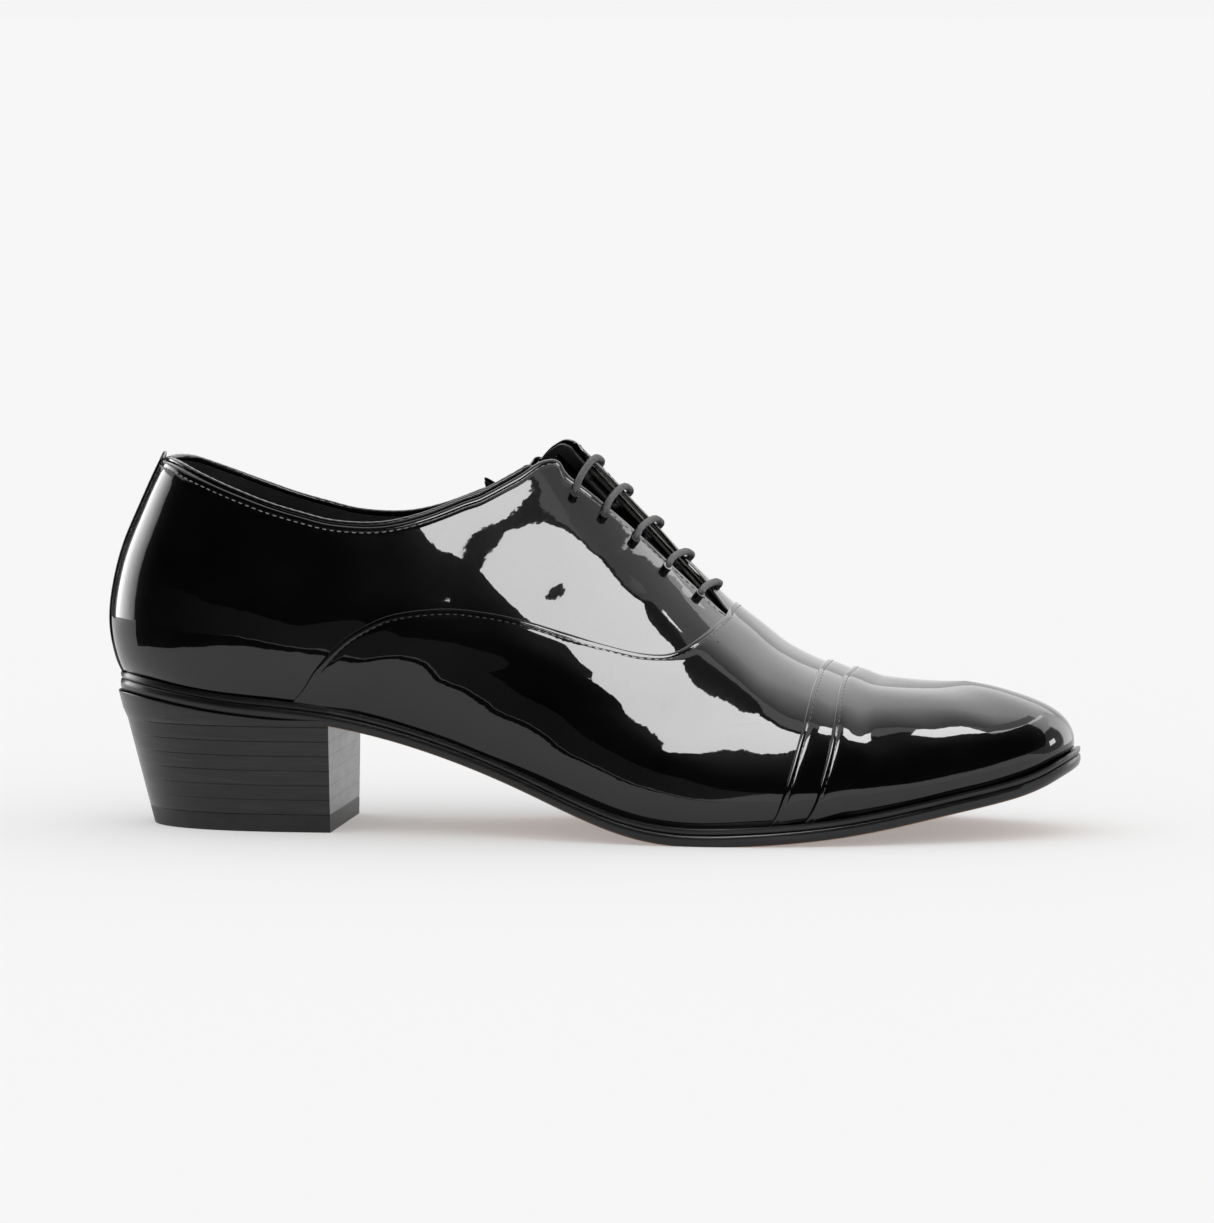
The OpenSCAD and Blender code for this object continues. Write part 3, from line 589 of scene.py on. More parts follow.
# The tails' routes, as in the CAD model.
OUTER_TAIL = [[-2.5, -18.5, 81], [2, -26.5, 67.5], [8.5, -35, 51], [14, -41.5, 36.5],
              [20, -45.5, 25], [27, -46.5, 16.5], [35, -46.5, 11.6], [44, -46.5, 10.5],
              [54, -46, 10.8], [66, -44, 11.9], [78, -41, 13.3], [90, -37, 15.2],
              [100, -32.5, 17.3], [109, -28, 19.3]]
INNER_TAIL = [[33, 24.5, 62.5], [36, 33.5, 49], [40, 39.5, 37], [43.5, 42.8, 27],
              [47, 43.8, 18], [53, 42.3, 12.4], [62, 41.2, 11.4], [72, 40.8, 12.3],
              [82, 39.3, 13.6], [92, 37, 15.5], [101, 34, 17.3], [109, 31, 19.2]]


def circle(count):
    return np.linspace(0, 2 * math.pi, count, endpoint=False)


def distances(points):
    """How far each point of a line is along it."""
    return np.concatenate([[0], np.cumsum(np.linalg.norm(np.diff(points, axis=0), axis=1))])


def resampled(points, step):
    """Points at even steps along a line."""
    lengths = distances(points)
    count = max(int(round(lengths[-1] / step)), 2)
    at = np.linspace(0, lengths[-1], count + 1)
    return np.stack([np.interp(at, lengths, points[:, k]) for k in range(points.shape[1])], -1)


def frames(points):
    """Two directions across a line, turned as little as possible along it."""
    ways = unit(np.gradient(points, axis=0))
    sides = [unit(np.cross(ways[0], [0, 0, 1] if abs(ways[0][2]) < 0.8 else [0, 1, 0]))]
    for way in ways[1:]:
        sides.append(unit(sides[-1] - (sides[-1] @ way) * way))
    return np.array(sides), np.cross(ways, sides)


def tube(points, radius, around, pattern=None):
    """Points and faces of a tube with closed ends. The pattern changes its radius."""
    sides, others = frames(points)
    n, turns = len(points), circle(around)
    size = np.broadcast_to(np.asarray(radius, float), n)[:, None] * np.ones(around)
    if pattern:
        size = size * pattern(distances(points)[:, None], turns[None, :])
    ring = (np.cos(turns)[None, :, None] * sides[:, None]
            + np.sin(turns)[None, :, None] * others[:, None])
    body = (points[:, None] + size[..., None] * ring).reshape(-1, 3)
    return np.vstack([body, points[0], points[-1]]), capped_faces(n, around)


def braid(length, turn):
    """Strands that wind both ways round a cord, and cross over and under."""
    pitch = 3.2
    one = np.sin(4 * turn + 2 * math.pi * length / pitch)
    two = np.sin(4 * turn - 2 * math.pi * length / pitch)
    return 0.955 + 0.045 * np.maximum(one, two)


def lifted(place, height):
    return skin(np.array([place[:2]], float), np.array([height], float))[0]


def bar(k):
    """One crossing, up through the outer eyelet and down through the inner one."""
    a, b = np.array(OUTER_EYELETS[k]), np.array(INNER_EYELETS[k])
    heights = (UNDER_FACING, 0.3, 3, OVER_FACING)
    over = [lifted(mix(a, b, t), OVER_FACING) for t in (0.07, 0.25, 0.76, 0.93)]
    return [*(lifted(a, h) for h in heights), *over, *(lifted(b, h) for h in heights[::-1])]


def run_inside(a, b):
    a, b = np.array(a), np.array(b)
    return [lifted(mix(a, b, t), UNDER_FACING) for t in (0.13, 0.87)]


def lace_way():
    """Corners of the laced stretch, bar by bar from the mouth down, and its two inner ends."""
    first = [[5.78, 0.7, -2.6], [5.75, 0.76, -2.4], [5.735, 0.81, UNDER_FACING]]
    last = [[6.965, 1.025, UNDER_FACING], [6.93, 1.1, -2.3], [6.87, 1.21, -2.5]]
    way = [lifted(s, s[2]) for s in first]
    for k in range(5):
        way += bar(k) if k % 2 == 0 else bar(k)[::-1]
        if k < 4:
            side = INNER_EYELETS if k % 2 == 0 else OUTER_EYELETS
            way += run_inside(side[k], side[k + 1])
    return np.array(way + [lifted(s, s[2]) for s in last])


def rounded(points):
    """A line that rounds every corner of a chain of points."""
    middles = (points[1:] + points[:-1]) / 2
    t = np.linspace(0, 1, 6, endpoint=False)[:, None]
    turns = [(1 - t) ** 2 * p + 2 * t * (1 - t) * c + t ** 2 * q
             for p, c, q in zip(middles[:-1], points[1:-1], middles[1:])]
    return np.vstack([points[:1], *turns, middles[-1:], points[-1:]])


def make_laces():
    points, faces = tube(resampled(rounded(lace_way()), 0.4), LACE_R, 24, braid)
    lace = make_object("lace_laced", points, faces, sharp=80)
    finish_piece(lace, LACE, ["lace"])
    for side, route in (("lateral", OUTER_TAIL), ("medial", INNER_TAIL)):
        way = resampled(curve(route, 40 * (len(route) - 1)) + FRAME_SHIFT, 0.5)
        points, faces = tube(way, LACE_R, 20, braid)
        tail = make_object("lace_tail_" + side + "_cord", points, faces, sharp=80)
        finish_piece(tail, LACE, ["lace_tail_" + side])
        ahead, rings = unit(np.subtract(route[-1], route[-2])), 24
        size = TIP_R * np.minimum(1, 0.86 + 0.14 * np.linspace(0, 8, rings))
        size[-3:] *= (0.97, 0.88, 0.6)
        line = way[-1] + ahead * np.linspace(0.05, TIP_LENGTH, rings)[:, None]
        points, faces = tube(line, size, 24)
        tip = make_object("lace_tip_" + side, points, faces, sharp=50)
        finish_piece(tip, GLOSSY_TIP, ["aglets"])


make_laces()


# ---------------------------------------------------------------- stitching

def stitches(name, lines, thread=BLACK_THREAD, body=SHOE):
    """Separate stitches along lines. Each line is (points, outward directions)."""
    pitch, length, radius = 2.3, 1.6, 0.18
    around, rings = 8, 7
    spread = np.linspace(-1, 1, rings)
    sizes = radius * np.sqrt(np.maximum(1 - spread ** 4, 0.04))
    sunk = -0.2 * radius - 0.9 * radius * spread ** 4
    turns = circle(around)[:, None]
    made, faces, used = [], [], 0
    for points, normals in lines:
        joined = resampled(np.hstack([points, normals]), pitch)
        ways = unit(np.gradient(joined[:, :3], axis=0))
        for centre, way, out in zip(joined[:-1, :3], ways, joined[:-1, 3:]):
            out = unit(out - (out @ way) * way)
            axis = centre + way * (0.5 * length * spread)[:, None] + out * sunk[:, None]
            ring = np.cos(turns) * np.cross(way, out) + np.sin(turns) * out
            made.append((axis[:, None] + sizes[:, None, None] * ring).reshape(-1, 3))
            end = used + (rings - 1) * around
            faces.extend(ring_faces(rings, around, used))
            faces.extend([range(used, used + around), range(end + around - 1, end - 1, -1)])
            used += rings * around
    finish_piece(make_object(name, np.vstack(made), faces, sharp=70),
                 (thread, "upper_leather"), body=body)


def stitch_line(edge, inward, distance, height, first=0.0, last=1.0):
    """Points and directions of a seam beside an edge, over part of its length."""
    places = beside(edge, inward, distance)
    n = len(places) - 1
    places = places[int(first * n):int(last * n) + 1]
    level = np.full(len(places), float(height))
    return skin(places, level + unevenness(skin(places, 0 * level))), skin_normal(places)


# ---------------------------------------------------------------- the upper

CROSS_STEPS = 220
LONG_STEPS = 330


def make_vamp():
    rear, under = (curve(whole(edge), CROSS_STEPS) for edge in (VAMP_EDGE, UNDER_EDGE))
    front = shifted(curve(whole(CAP_EDGE), CROSS_STEPS), 0.2)
    seam = 1.9
    rows = edge_rows(rear, under, *LAP, rounding(0.5) + groove(seam, 0.5, 0.07))
    foot = mix(rear, under, 2.7)

    def fall(low, high):
        return lambda f: mix(high, low, smooth((f - 0.3) / 0.7))

    rows += rows_between(rows[-1][0], foot, 14, *(fall(*pair) for pair in zip(SKIN, LAP)))
    rows += rows_between(foot, front, 62, *SKIN)
    sheet("vamp", rows, PATENT)
    stitches("vamp_seam", [stitch_line(rear, under, seam, LAP[1] - 0.09)])


def make_band():
    rear = curve(whole(BAND_EDGE), CROSS_STEPS)
    front = shifted(curve(whole(CAP_EDGE), CROSS_STEPS), 0.1)
    seam = 1.7
    rows = edge_rows(rear, front, *BAND, rounding(0.65) + groove(seam, 0.5, 0.1))
    rows += rows_between(rows[-1][0], front, 10, lambda f: BAND[0] - 0.05 * f,
                         lambda f: mix(BAND[1], SKIN[1] + 0.2, smooth(f)))
    sheet("cap_band", rows, PATENT)
    stitches("band_seam", [stitch_line(rear, front, seam, BAND[1] - 0.12)])


def to_tip(edge):
    """The same line drawn together into the toe's tip."""
    return np.column_stack([np.full(len(edge), float(TOE)), edge[:, 1]])


def make_cap():
    edge = curve(whole(CAP_EDGE), CROSS_STEPS)
    tip = to_tip(edge)
    seam = 1.7
    rows = edge_rows(edge, tip, *CAP, rounding(0.7) + groove(seam, 0.5, 0.1))
    foot = shifted(edge, 0.42)
    rows += rows_between(rows[-1][0], foot, 12, lambda f: mix(CAP[0], SKIN[0], smooth(f)),
                         lambda f: mix(CAP[1], SKIN[1], smooth(f)))
    rows += rows_between(foot, tip, 70, *SKIN)
    sheet("toe_cap", rows, PATENT, folded=True)
    stitches("cap_seam", [stitch_line(edge, tip, seam, CAP[1] - 0.12)])


def quarter_edges(inner_side):
    """A quarter's upper edge, its foot, and its lining's foot."""
    lining = HEEL_FEATHER + [[3, 0], [3.8, 0]] + LINING_EDGE
    if inner_side:
        edges = (np.vstack([across(TOPLINE), INNER_CORNER, INNER_FACING]),
                 np.vstack([across(HEEL_FEATHER + UNDER_EDGE[:15]), [[7.31, 0.9]]]), across(lining))
    else:
        edges = TOPLINE + OUTER_CORNER + OUTER_FACING, HEEL_FEATHER + UNDER_EDGE[:16], lining
    return [curve(edge, LONG_STEPS) for edge in edges]


def cut_eyelets(piece, places):
    """Round holes through a sheet."""
    radius = 1.5 * MM
    cutter = bmesh.new()
    for place in places:
        out = Vector(skin_normal(np.array([place], float))[0])
        turn = out.to_track_quat("Z", "Y").to_matrix().to_4x4()
        turn.translation = Vector(lifted(place, 1.5)) * MM
        bmesh.ops.create_cone(cutter, cap_ends=True, segments=40, radius1=radius,
                              radius2=radius, depth=7 * MM, matrix=turn)
    mesh = bpy.data.meshes.new("cutter")
    cutter.to_mesh(mesh)
    cutter.free()
    tool = bpy.data.objects.new("cutter", mesh)
    bpy.context.scene.collection.objects.link(tool)
    cut = piece.modifiers.new("holes", "BOOLEAN")
    cut.object = tool
    cut.operation = "DIFFERENCE"
    cut.solver = "EXACT"
    bpy.context.view_layer.update()
    whole_piece = piece.evaluated_get(bpy.context.evaluated_depsgraph_get())
    piece.data = bpy.data.meshes.new_from_object(whole_piece)
    piece.modifiers.clear()
    bpy.data.objects.remove(tool)
    piece.data.set_sharp_from_angle(angle=math.radians(40))


def make_quarters():
    seam = 2.0
    groove_level = SKIN[1] - 0.13
    # The topline's share of the whole edge, where the pale seam ends.
    share = (len(TOPLINE) + 1.2) / (len(TOPLINE) + 7)
    pale, black = [], []
    for side, inner_side, places in (("lateral", False, OUTER_EYELETS),
                                     ("medial", True, INNER_EYELETS)):
        high, low, lining_foot = quarter_edges(inner_side)
        rows = edge_rows(high, low, *SKIN, rounding(0.8) + groove(seam, 0.6, 0.15))
        rows += rows_between(rows[-1][0], low, 70, *SKIN)
        cut_eyelets(sheet("quarter_" + side, rows, PATENT), places)
        pale.append(stitch_line(high, low, seam, groove_level, 0.012, share))
        black.append(stitch_line(high, low, seam, groove_level, share, 0.97))

        rows = edge_rows(high, lining_foot, *LINING, rounding(0.4, 3))
        rows += rows_between(rows[-1][0], lining_foot, 45, *LINING)
        sheet("quarter_lining_" + side, rows, LINING_BLACK, uneven=0.3)
    stitches("topline_seam", pale, PALE_THREAD)
    stitches("facing_seam", black)


def make_vamp_lining():
    edge = shifted(curve(whole(LINING_EDGE + [[7.2, 1]]), 160), 0.03)
    rows = [(edge, *LINING)] + rows_between(edge, to_tip(edge), 70, *LINING)
    sheet("vamp_lining", rows, LINING_BLACK, folded=True, uneven=0.3)


def make_back_strip():
    """The strip over the rear seam, whose upper end reaches a little past the topline."""
    half, width, seam = 0.2, 11.0, 1.8
    corner = 0.7
    upper = curve([[-half, 0.83], [-half / 2, 0.848], [0, 0.852], [half / 2, 0.848],
                   [half, 0.83]], 48)
    across_share = (upper[:, 0] + half) / (2 * half)
    from_edge = np.minimum(across_share, 1 - across_share) * width
    drop = corner - np.sqrt(np.maximum(corner ** 2 - np.maximum(corner - from_edge, 0) ** 2, 0))
    drop += 0.12 * np.exp(-((from_edge - seam) / 0.35) ** 2)
    rows = [(upper * [1, f], LAP[0], LAP[1] - drop) for f in np.linspace(0, 1, 151)]
    sheet("back_strip", rows, PATENT)
    seams = []
    for side in (-1, 1):
        w = np.linspace(0.02, 0.82, 120)
        places = np.stack([np.full(120, side * half * (1 - 2 * seam / width)), w], -1)
        level = LAP[1] - 0.12 + unevenness(skin(places, 0 * w))
        seams.append((skin(places, level), skin_normal(places)))
    stitches("back_strip_seams", seams)


def make_binding():
    """The corded edge between quarter and lining, all round the mouth. Its ends taper and sink."""
    rise, steps, taper = 0.008, 700, 18
    inner = [[-u, w] for u, w in TOPLINE[1:]]
    line = curve([OUTER_CORNER[0]] + TOPLINE[::-1] + inner + [[-5.4, 0.9]], steps)
    count = np.arange(steps + 1)
    ends = smooth(np.minimum(count, count[::-1]) / taper)
    line[:, 1] += mix(-0.02, rise, ends)
    points, faces = tube(skin(line, np.full(len(line), 1.5)), 0.85 * mix(0.5, 1, ends), 14,
                         lambda length, turn: 1 + 0.03 * np.sin(3 * turn + length * 2.1))
    bead = make_object("topline_bead", points, faces, sharp=80)
    finish_piece(bead, (PATENT[0], "binding_tape"), ["topline_binding"])


# The tongue's rows, as [station, bow, outer girth, inner girth, depth, looseness, rise].
TONGUE_ROWS = [[7.46, 0, 0.8, 1.09, 0.5, 0, 0], [7.2, 0, 0.795, 1.095, 3.7, 0, 0],
               [5.75, 0, 0.77, 1.12, 3.7, 0, 0], [5.5, 0.15, 0.785, 1.15, 3.7, 1, 5],
               [5.3, 0.45, 0.86, 1.17, 3.7, 1, -5]]
TONGUE_COUNTS = (14, 70, 30, 26)
TONGUE_ACROSS = 72


def tongue_face(under):
    """Rows of points on one face of the tongue, from its root to its free end."""
    knots = np.array(TONGUE_ROWS, float)
    rows = []
    for r, count in enumerate(TONGUE_COUNTS):
        for k in range(0 if r == 0 else 1, count + 1):
            u, bow, narrow, wide, depth, loose, rise = mix(knots[r], knots[r + 1], k / count)
            c = np.linspace(-1, 1, TONGUE_ACROSS + 1)
            if r == len(TONGUE_COUNTS) - 1:
                # The free end's corners are rounded.
                c *= 0.86 + 0.14 * math.sqrt(1 - (k / count) ** 2)
            t = (c + 1) / 2
            places = np.stack([u - bow * c * c, mix(narrow, wide, t)], -1)
            held = skin(places, -depth - under + 0 * t)
            outer, inner = (skin([[u - bow, w]], [-depth])[0] for w in (narrow, wide))
            free = mix(outer, inner, t[:, None])
            free[:, 2] += rise * (1 - c * c) - under
            rows.append(mix(held, free, smooth(loose)))
    return np.array(rows)


def tongue_plate(node, under, thick, look):
    """One layer of the tongue, with its three free edges rounded over. Gives its upper face."""
    top, low = tongue_face(under), tongue_face(under + thick)
    bump = unevenness(top, 0.5)[..., None] * unit(top - low)
    top, low = top + bump, low + bump
    m, n = top.shape[:2]
    ease = np.ones((m, n))
    for k, share in enumerate((0.35, 0.72, 0.93)):
        for edge in (np.s_[:, k], np.s_[:, n - 1 - k], np.s_[m - 1 - k]):
            ease[edge] = np.minimum(ease[edge], share)
    middle, half = (top + low) / 2, (top - low) / 2 * ease[..., None]
    points = np.vstack([(middle + half).reshape(-1, 3), (middle - half).reshape(-1, 3)])
    plate = make_object(node + "_leather", points, shell_faces(m, n), merge=0.002)
    finish_piece(plate, look, [node], TONGUE)
    return middle + half


def make_tongue():
    top = tongue_plate("tongue", 0, 1.0, PATENT)
    tongue_plate("tongue_lining", 1.25, 0.8, LINING_BLACK)
    # Two seams, a tenth of the width from the sides, from behind the root to near the end.
    lines = []
    for column in (TONGUE_ACROSS // 10, TONGUE_ACROSS * 9 // 10):
        line, near = (top[16:-4, k] for k in (column, column + 1))
        normals = unit(np.cross(np.gradient(line, axis=0), near - line))
        lines.append((line, normals * np.sign(normals[:, 2].mean())))
    stitches("tongue_stitches", lines, PALE_THREAD, TONGUE)


def make_eyelets():
    """Blind eyelets: a sleeve through each hole, flush with the leather, and a flange behind."""
    around, hole = 40, 1.28
    profile = [(hole, -1.05), (2.6, -1.05), (2.6, -0.7), (1.5, -0.68), (1.5, 2.9), (1.47, 3.02),
               (1.4, 3.08), (1.33, 3.04), (hole, 2.9), (hole, -1.05)]
    turns = circle(around)[:, None]
    points, faces = [], []
    for place in OUTER_EYELETS + INNER_EYELETS:
        out = skin_normal(np.array([place], float))[0]
        side = unit(np.cross(out, [0, 0, 1]))
        ring = np.cos(turns) * side + np.sin(turns) * np.cross(out, side)
        foot = lifted(place, 0)
        lift = unevenness(foot)
        faces.append(ring_faces(len(profile), around, len(points) * around))
        points.extend(foot + (h + (lift if h > 2 else 0)) * out + r * ring for r, h in profile)
    eyelets = make_object("eyelet_rings", np.vstack(points), np.vstack(faces), merge=0.0001)
    finish_piece(eyelets, ENAMEL, ["eyelets"])


make_vamp()
make_band()
make_cap()
make_quarters()
make_vamp_lining()
make_back_strip()
make_binding()
make_tongue()
make_eyelets()


# ---------------------------------------------------------------- the bottom

WELT_T = 2.0
OUTSOLE_T = 3.9
INSOLE_T = 2.5
SOLE_EDGE = 3.0
SEAT_EDGE = 1.2
BREAST_X = -78.0
HEEL_END = 3.05
TOP_PIECE_T = 5.5
LIFT_T = 4.5
LIFTS = 6
SEAT_Z = 40.0


def plan_point(u, out):
    """A point of the bottom's outline in plan, some millimetres outside the feather."""
    u = np.asarray(u, float)
    point = feather(u)
    slope = blend(u, along_slope(u - np.floor(u)), up(0 * u))
    side = unit(np.stack([slope[..., 1], -slope[..., 0]], -1))
    return point[..., :2] + np.asarray(out, float)[..., None] * side


def edge_out(u):
    """How far the sole stands out past the feather."""
    half = np.abs(np.where(u <= TOE, u, COLUMNS - u))
    return SKIN[1] + mix(SEAT_EDGE, SOLE_EDGE, smooth((half - 4.3) / 1.6))


def bottom_z(x, height):
    """Height of a level under or over the feather line, never below the floor."""
    return np.maximum(feather_z(x) + height, 0)


def edge_lines(u, profile):
    """Lines of points along the sole's edge, one for each (inset, height) pair."""
    lines = []
    for inset, height in profile:
        plan = plan_point(u, edge_out(u) - inset)
        lines.append(np.column_stack([plan, bottom_z(plan[:, 0], height)]))
    return np.vstack(lines) + FRAME_SHIFT


def bottom_body(name, profile):
    """A closed plate under the foot: two faces, and a side that follows a profile of
    (inset, height) pairs from the lower to the upper face."""
    u, t = np.linspace(0, TOE, 240), np.linspace(0, 1, 41)
    size = len(u) * len(t)
    points, faces = [], []
    for k, (inset, height) in enumerate((profile[0], profile[-1])):
        outer, inner = (plan_point(way, edge_out(u) - inset) for way in (u, COLUMNS - u))
        inner[0], inner[-1] = outer[0], outer[-1]
        plan = mix(outer[:, None], inner[:, None], t[None, :, None]).reshape(-1, 2)
        level = bottom_z(plan[:, 0], height)
        points.append(np.column_stack([plan, level]) + FRAME_SHIFT)
        faces.append(grid_faces(len(u), len(t), k * size, k == 1))
    around = np.concatenate([u, (COLUMNS - u)[-2:0:-1]])
    points.append(edge_lines(around, profile))
    faces.append(ring_faces(len(profile), len(around), 2 * size))
    return make_object(name, np.vstack(points), np.vstack(faces), merge=0.01, sharp=35)


def strip_body(name, u, loop):
    """A strip along the sole's edge, whose section is a closed loop of (inset, height) pairs."""
    n = len(u)
    starts = n * np.arange(len(loop))
    faces = [(a + i, a + i + 1, b + i + 1, b + i)
             for a, b in zip(starts, np.roll(starts, -1)) for i in range(n - 1)]
    faces += [starts, starts[::-1] + n - 1]
    return make_object(name, edge_lines(u, loop), faces, merge=0.001, sharp=35)


def breast_station():
    """The station at which the feather passes the heel's front."""
    u = np.linspace(2, 4, 400)
    return float(np.interp(BREAST_X, feather(u)[:, 0], u))


def make_welt():
    first = breast_station()
    u = np.linspace(first, COLUMNS - first, 700)
    outer = [(0.35, -WELT_T + 0.05), (0.05, -WELT_T + 0.35), (0, -1.2), (0, -0.5), (0.15, -0.2),
             (0.5, -0.02), (1.0, 0.0)]
    inner = [(2.0, -0.12), (2.9, -0.35), (3.6, -0.4), (5.4, -0.4), (7.2, -0.4),
             (7.2, -WELT_T + 0.05)]
    welt = strip_body("welt_strip", u, outer + inner)
    finish_piece(welt, EDGE_BLACK, ["welt"])


def make_heel_rand():
    last = breast_station()
    u = np.linspace(-last, last, 420)
    outer = [(0.3, -WELT_T + 0.05), (0, -WELT_T + 0.4), (0, -0.6), (0.2, -0.15), (0.6, 0)]
    inner = [(1.2, -0.3), (3.6, -0.35), (5.2, -0.35), (5.2, -WELT_T + 0.05)]
    rand = strip_body("heel_rand_strip", u, outer + inner)
    finish_piece(rand, EDGE_BLACK, ["heel_rand"])


def make_outsole():
    """The outsole with its blackened edge. Its underside is tan in front of the heel."""
    low, high = -WELT_T - OUTSOLE_T, -WELT_T
    profile = [(1.1, low), (0.45, low + 0.25), (0.1, low + 0.8), (-0.1, low + 1.6),
               (-0.1, low + 2.5), (0.05, low + 3.3), (0.35, high - 0.25), (0.7, high)]
    outsole = bottom_body("outsole_edge", profile)
    finish_piece(outsole, EDGE_BLACK, ["outsole"])
    outsole.data.materials.append(SOLE_TAN)
    heel_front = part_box("heel_lift_6")[1][0]
    for polygon in outsole.data.polygons:
        if polygon.normal.z < -0.8 and polygon.center.x > heel_front:
            polygon.material_index = 1


def make_sock():
    profile = [(4.6, INSOLE_T - 0.1), (4.5, INSOLE_T + 0.4), (4.9, INSOLE_T + 0.8)]
    finish_piece(bottom_body("sock_leather", profile), LINING_BLACK, ["sock"])


def heel_outline(z, inset):
    """The heel's outline at a height, drawn in towards the floor, with a flat front."""
    kx, ky = mix(0.85, 1, z / SEAT_Z), mix(0.87, 1, z / SEAT_Z)
    u = np.linspace(-HEEL_END, HEEL_END, 260)
    plan = plan_point(u, edge_out(u) - inset)
    line = np.column_stack([BREAST_X + np.minimum(plan[:, 0] - BREAST_X, 0) * kx, plan[:, 1] * ky])
    line[:, 0] -= inset * (line[:, 0] > BREAST_X - 1e-6)
    front = np.linspace(0, 1, 24)[1:-1, None]
    return np.vstack([line, mix(line[-1], line[0], front)])


def heel_layer(name, low, high, look, node, top=None, crisp=0.18):
    """One layer of the heel, with its corners eased. A top function bounds the wedge."""
    steps = [(low, crisp), (low + 0.12, crisp / 4), (low + 0.35, 0), (mix(low, high, 0.5), 0.0),
             (high - 0.35, 0), (high - 0.12, crisp / 4), (high, crisp)]
    rings = []
    for z, inset in steps:
        line = heel_outline(z, inset)
        level = np.full(len(line), z)
        if top is not None:
            level = np.minimum(level, top(line[:, 0]) - (high - z))
            level = np.maximum(level, low + (z - low) * 0.2)
        rings.append(np.column_stack([line, level]))
    points = np.vstack(rings + [rings[0].mean(0), rings[-1].mean(0)]) + FRAME_SHIFT
    faces = capped_faces(len(rings), len(rings[0]))
    finish_piece(make_object(name, points, faces, merge=0.001, sharp=30), look, [node])


def make_heel():
    heel_layer("heel_top_piece", 0, TOP_PIECE_T - 0.06, RUBBER, "top_piece")
    for k in range(LIFTS):
        low = TOP_PIECE_T + k * LIFT_T
        node = "heel_lift_%d" % (k + 1)
        heel_layer(node + "_leather", low + 0.02, low + LIFT_T - 0.02, HEEL_BLACK, node,
                   crisp=0.05)
    under_sole = -WELT_T - OUTSOLE_T - 0.02
    heel_layer("heel_wedge_leather", TOP_PIECE_T + LIFTS * LIFT_T, SEAT_Z + 3, HEEL_BLACK,
               "heel_wedge", top=lambda x: feather_z(x) + under_sole, crisp=0.1)


make_welt()
make_heel_rand()
make_outsole()
make_sock()
make_heel()


# ---------------------------------------------------------------- CAD pieces that stay

for hidden, material in (("vamp_interlining", CLOTH), ("toe_puff", STIFFENER),
                         ("heel_counter", STIFFENER), ("facing_stay_lateral", CLOTH),
                         ("facing_stay_medial", CLOTH), ("insole", INSOLE_TAN),
                         ("cork_filler", CORK), ("shank", STEEL), ("heel_nails", NAIL)):
    mesh = nodes[hidden].data
    mesh.materials.clear()
    mesh.materials.append(material)
    mesh.shade_smooth()
    mesh.set_sharp_from_angle(angle=math.radians(30))


# ---------------------------------------------------------------- floor, world and lights

def make_floor():
    mesh = bpy.data.meshes.new("floor")
    far = 90.0
    mesh.from_pydata([(-far, -far, 0), (far, -far, 0), (far, far, 0), (-far, far, 0)], [],
                     [(0, 1, 2, 3)])
    mesh.materials.append(Look("floor_white").done({
        "Base Color": (0.6, 0.6, 0.6, 1), "Emission Color": (1, 1, 1, 1),
        "Emission Strength": 0.28, "Roughness": 1.0, "Specular IOR Level": 0.0}))
    floor = bpy.data.objects.new("floor", mesh)
    bpy.context.scene.collection.objects.link(floor)


def glowing(name, strength):
    """A lamp's surface. A tuple makes it change along one of its own axes. It holds the
    strengths at the start and the end, the share of its length that this takes, and the axis."""
    look = Look(name)
    glow = look.nodes.new("ShaderNodeEmission")
    if isinstance(strength, tuple):
        start, end, share, axis = strength
        part = look.node("SeparateXYZ", look.place("Generated"), "Vector", {}).outputs[axis]
        fade = look.node("MapRange", part, "Value",
                         {"From Max": share, "To Min": start, "To Max": end})
        look.links.new(fade.outputs["Result"], glow.inputs["Strength"])
    else:
        glow.inputs["Strength"].default_value = strength
    surface = look.nodes["Material Output"].inputs["Surface"]
    look.links.new(glow.outputs["Emission"], surface)
    look.nodes.remove(look.shader)
    return look.material


def screen(name, points, faces, strength, backdrop=False):
    """A lamp or a dark card, in metres, that only mirrors show. A backdrop is the opposite."""
    mesh = bpy.data.meshes.new(name)
    mesh.from_pydata([tuple(map(float, p)) for p in points], [], [list(map(int, f)) for f in faces])
    mesh.materials.append(glowing(name, strength))
    piece = bpy.data.objects.new(name, mesh)
    bpy.context.scene.collection.objects.link(piece)
    piece.visible_camera = backdrop
    piece.visible_glossy = not backdrop
    piece.visible_diffuse = False
    piece.visible_shadow = False


def flat(name, outline, height, strength):
    """A level card from its outline in plan."""
    screen(name, [(x, y, height) for x, y in outline], [range(len(outline))], strength)


def standing(name, radius, ways, lows, highs, strength):
    """An upright curved card round the shoe, from bearings in degrees from straight ahead
    to the toe's side, and its lower and upper edges in metres."""
    bearings = np.linspace(ways[0], ways[-1], 60)
    turn = np.radians(bearings)
    low, high = (np.interp(bearings, ways, edge) for edge in (lows, highs))
    ring = radius * np.stack([np.sin(turn), -np.cos(turn)], -1)
    points = np.vstack([np.column_stack([ring, low]), np.column_stack([ring, high])])
    n = len(bearings)
    screen(name, points, [(i, i + 1, n + i + 1, n + i) for i in range(n - 1)], strength)


CEILING = 0.3
BACK_CEILING = 0.8


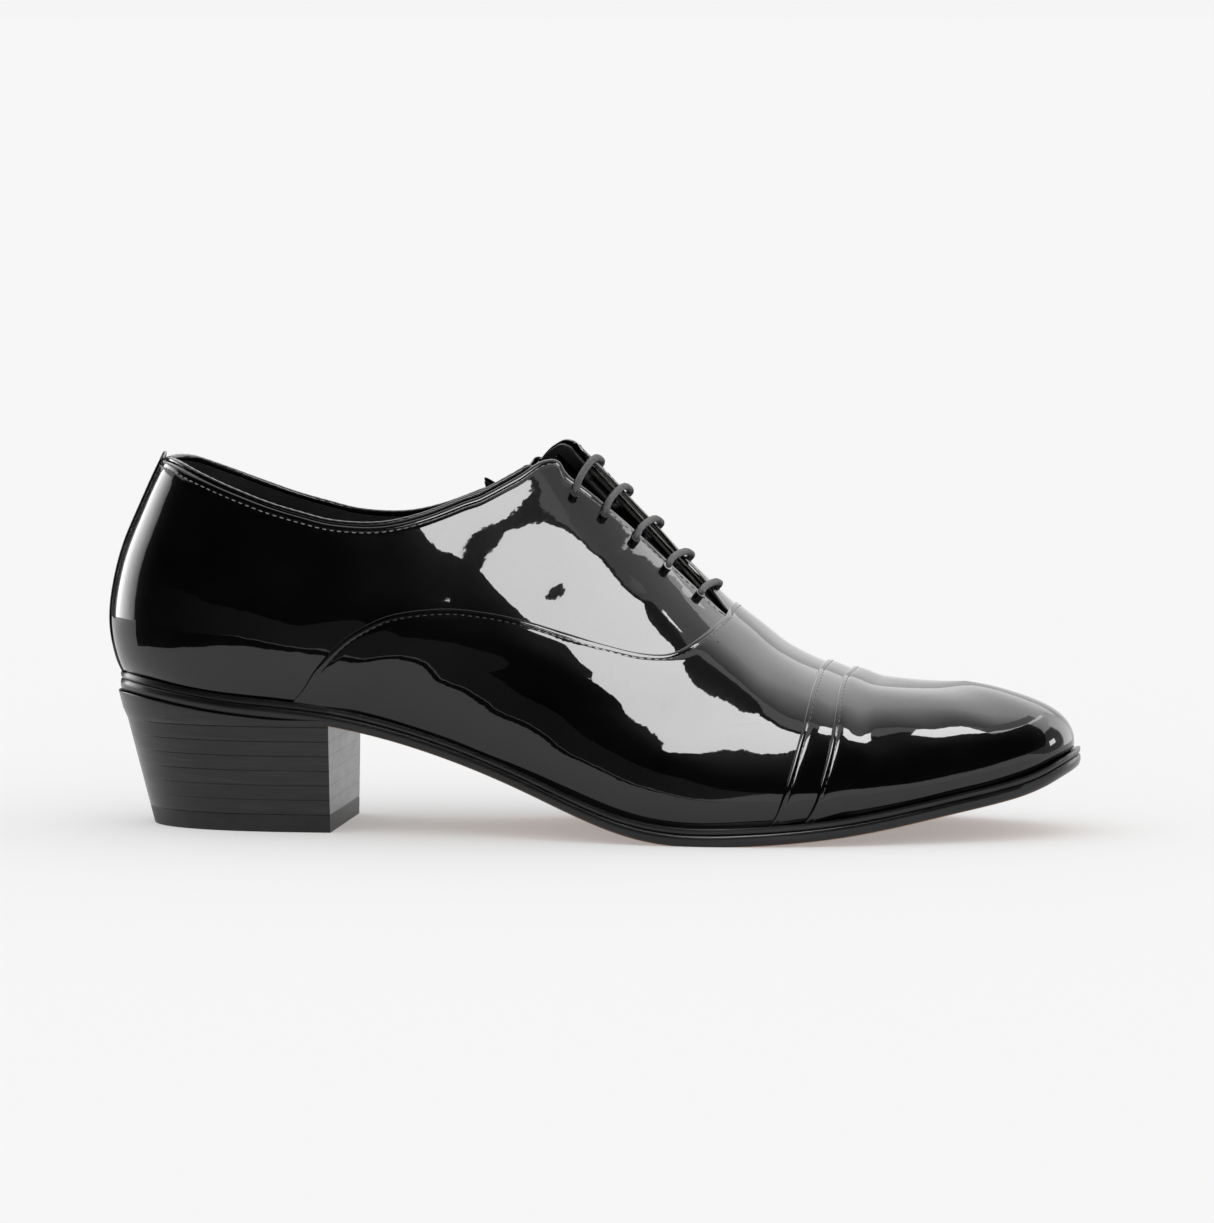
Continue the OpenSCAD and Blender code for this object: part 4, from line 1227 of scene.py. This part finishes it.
def make_lights():
    scene = bpy.context.scene
    scene.view_settings.view_transform = "Standard"
    scene.view_settings.look = "None"
    scene.world = bpy.data.worlds.new("studio")
    scene.world.use_nodes = True
    sky = scene.world.node_tree.nodes["Background"].inputs
    sky["Color"].default_value = (1, 1, 1, 1)
    sky["Strength"].default_value = 1.08
    # The far wall, as pale as the floor, hides the floor's end.
    turn, radius, top = np.linspace(0, 2 * math.pi, 49), 80, 25
    ring = radius * np.stack([np.cos(turn), np.sin(turn)], -1)
    wall = np.vstack([np.column_stack([ring, 0 * turn + z]) for z in (0, top)])
    screen("far_wall", wall, [(i, i + 1, 50 + i, 49 + i) for i in range(48)], 0.915,
           backdrop=True)
    # The dark side of the studio: a curved wall and a low ceiling in front of the shoe, and
    # the floor to its left.
    standing("dark_wall", 1.12, [-95, -12, 0, 10, 20, 30, 45, 60, 72, 82, 92, 100, 112, 118],
             [0.001, 0.02, 0.12, 0.26, 0.42, 0.48, 0.46, 0.41, 0.36, 0.2, 0.06, 0.0, 0.0, 0.09],
             [0.7] * 12 + [0.9, 0.9], (0.0, 0.3, 1.0, "X"))
    flat("dark_floor", [(-0.33, 0.0), (-1.3, 0.0), (-1.3, -1.2), (0.0, -1.2), (0.0, -1.0),
                        (-0.22, -0.48), (-0.33, -0.2)], 0.0008, 0.0)
    flat("dark_ceiling", [(-1.2, -1.15), (-1.2, -0.1), (0.045, -0.1), (0.105, -0.068),
                          (0.13, -0.045), (0.145, -0.022), (0.26, -0.022), (0.28, 0.08),
                          (1.2, 0.1), (1.2, -1.15)], CEILING, 0.0)
    # The lamps: one close over the outer side, one over the cap, and large dimmer ones.
    flat("soft_lamp", [(0.03, -0.155), (0.052, -0.11), (0.07, -0.095), (0.105, -0.072),
                       (0.128, -0.06), (0.13, -0.125), (0.118, -0.17), (0.1, -0.215),
                       (0.075, -0.262), (0.05, -0.31), (0.025, -0.36), (-0.01, -0.405),
                       (-0.05, -0.45), (-0.065, -0.44), (-0.035, -0.375), (-0.02, -0.33),
                       (-0.035, -0.285), (-0.02, -0.245), (0.008, -0.198)], CEILING - 0.001, 13.0)
    flat("cap_lamp", [(0.162, -0.008), (0.19, -0.002), (0.235, -0.02), (0.225, -0.034),
                      (0.2, -0.04), (0.165, -0.036)], CEILING - 0.001, 13.0)
    flat("back_lamp", [(-0.9, 0.05), (1.3, 0.05), (1.3, 1.4), (-0.9, 1.4)], BACK_CEILING,
         (0.4, 2.4, 0.22, "Y"))
    flat("dim_card", [(0.3, -0.2), (0.38, -0.2), (0.52, 0.05), (0.62, 0.43), (0.47, 0.43),
                      (0.4, 0.0)], BACK_CEILING - 0.001, 0.75)
    flat("edge_lamp", [(0.43, -0.05), (0.46, -0.05), (0.53, 0.05), (0.58, 0.2), (0.61, 0.4),
                       (0.61, 0.62), (0.56, 0.62), (0.56, 0.4), (0.545, 0.25), (0.515, 0.13),
                       (0.48, 0.04)], BACK_CEILING - 0.002, 5.0)
    standing("heel_lamp", 1.0, [-126, -92], [0.001, 0.001], [0.42, 0.42], (1.2, 6.5, 0.9, "Y"))
    standing("heel_card", 0.9, [-168, -128], [0.001, 0.001], [0.3, 0.3], 0.0)
    standing("toe_card", 1.0, [119, 148], [0.001, 0.001], [0.9, 0.9], (1.6, 3.4, 1.0, "X"))
    standing("toe_lamp", 0.9, [100, 106], [0.17, 0.19], [0.3, 0.32], 9.0)


make_floor()
make_lights()
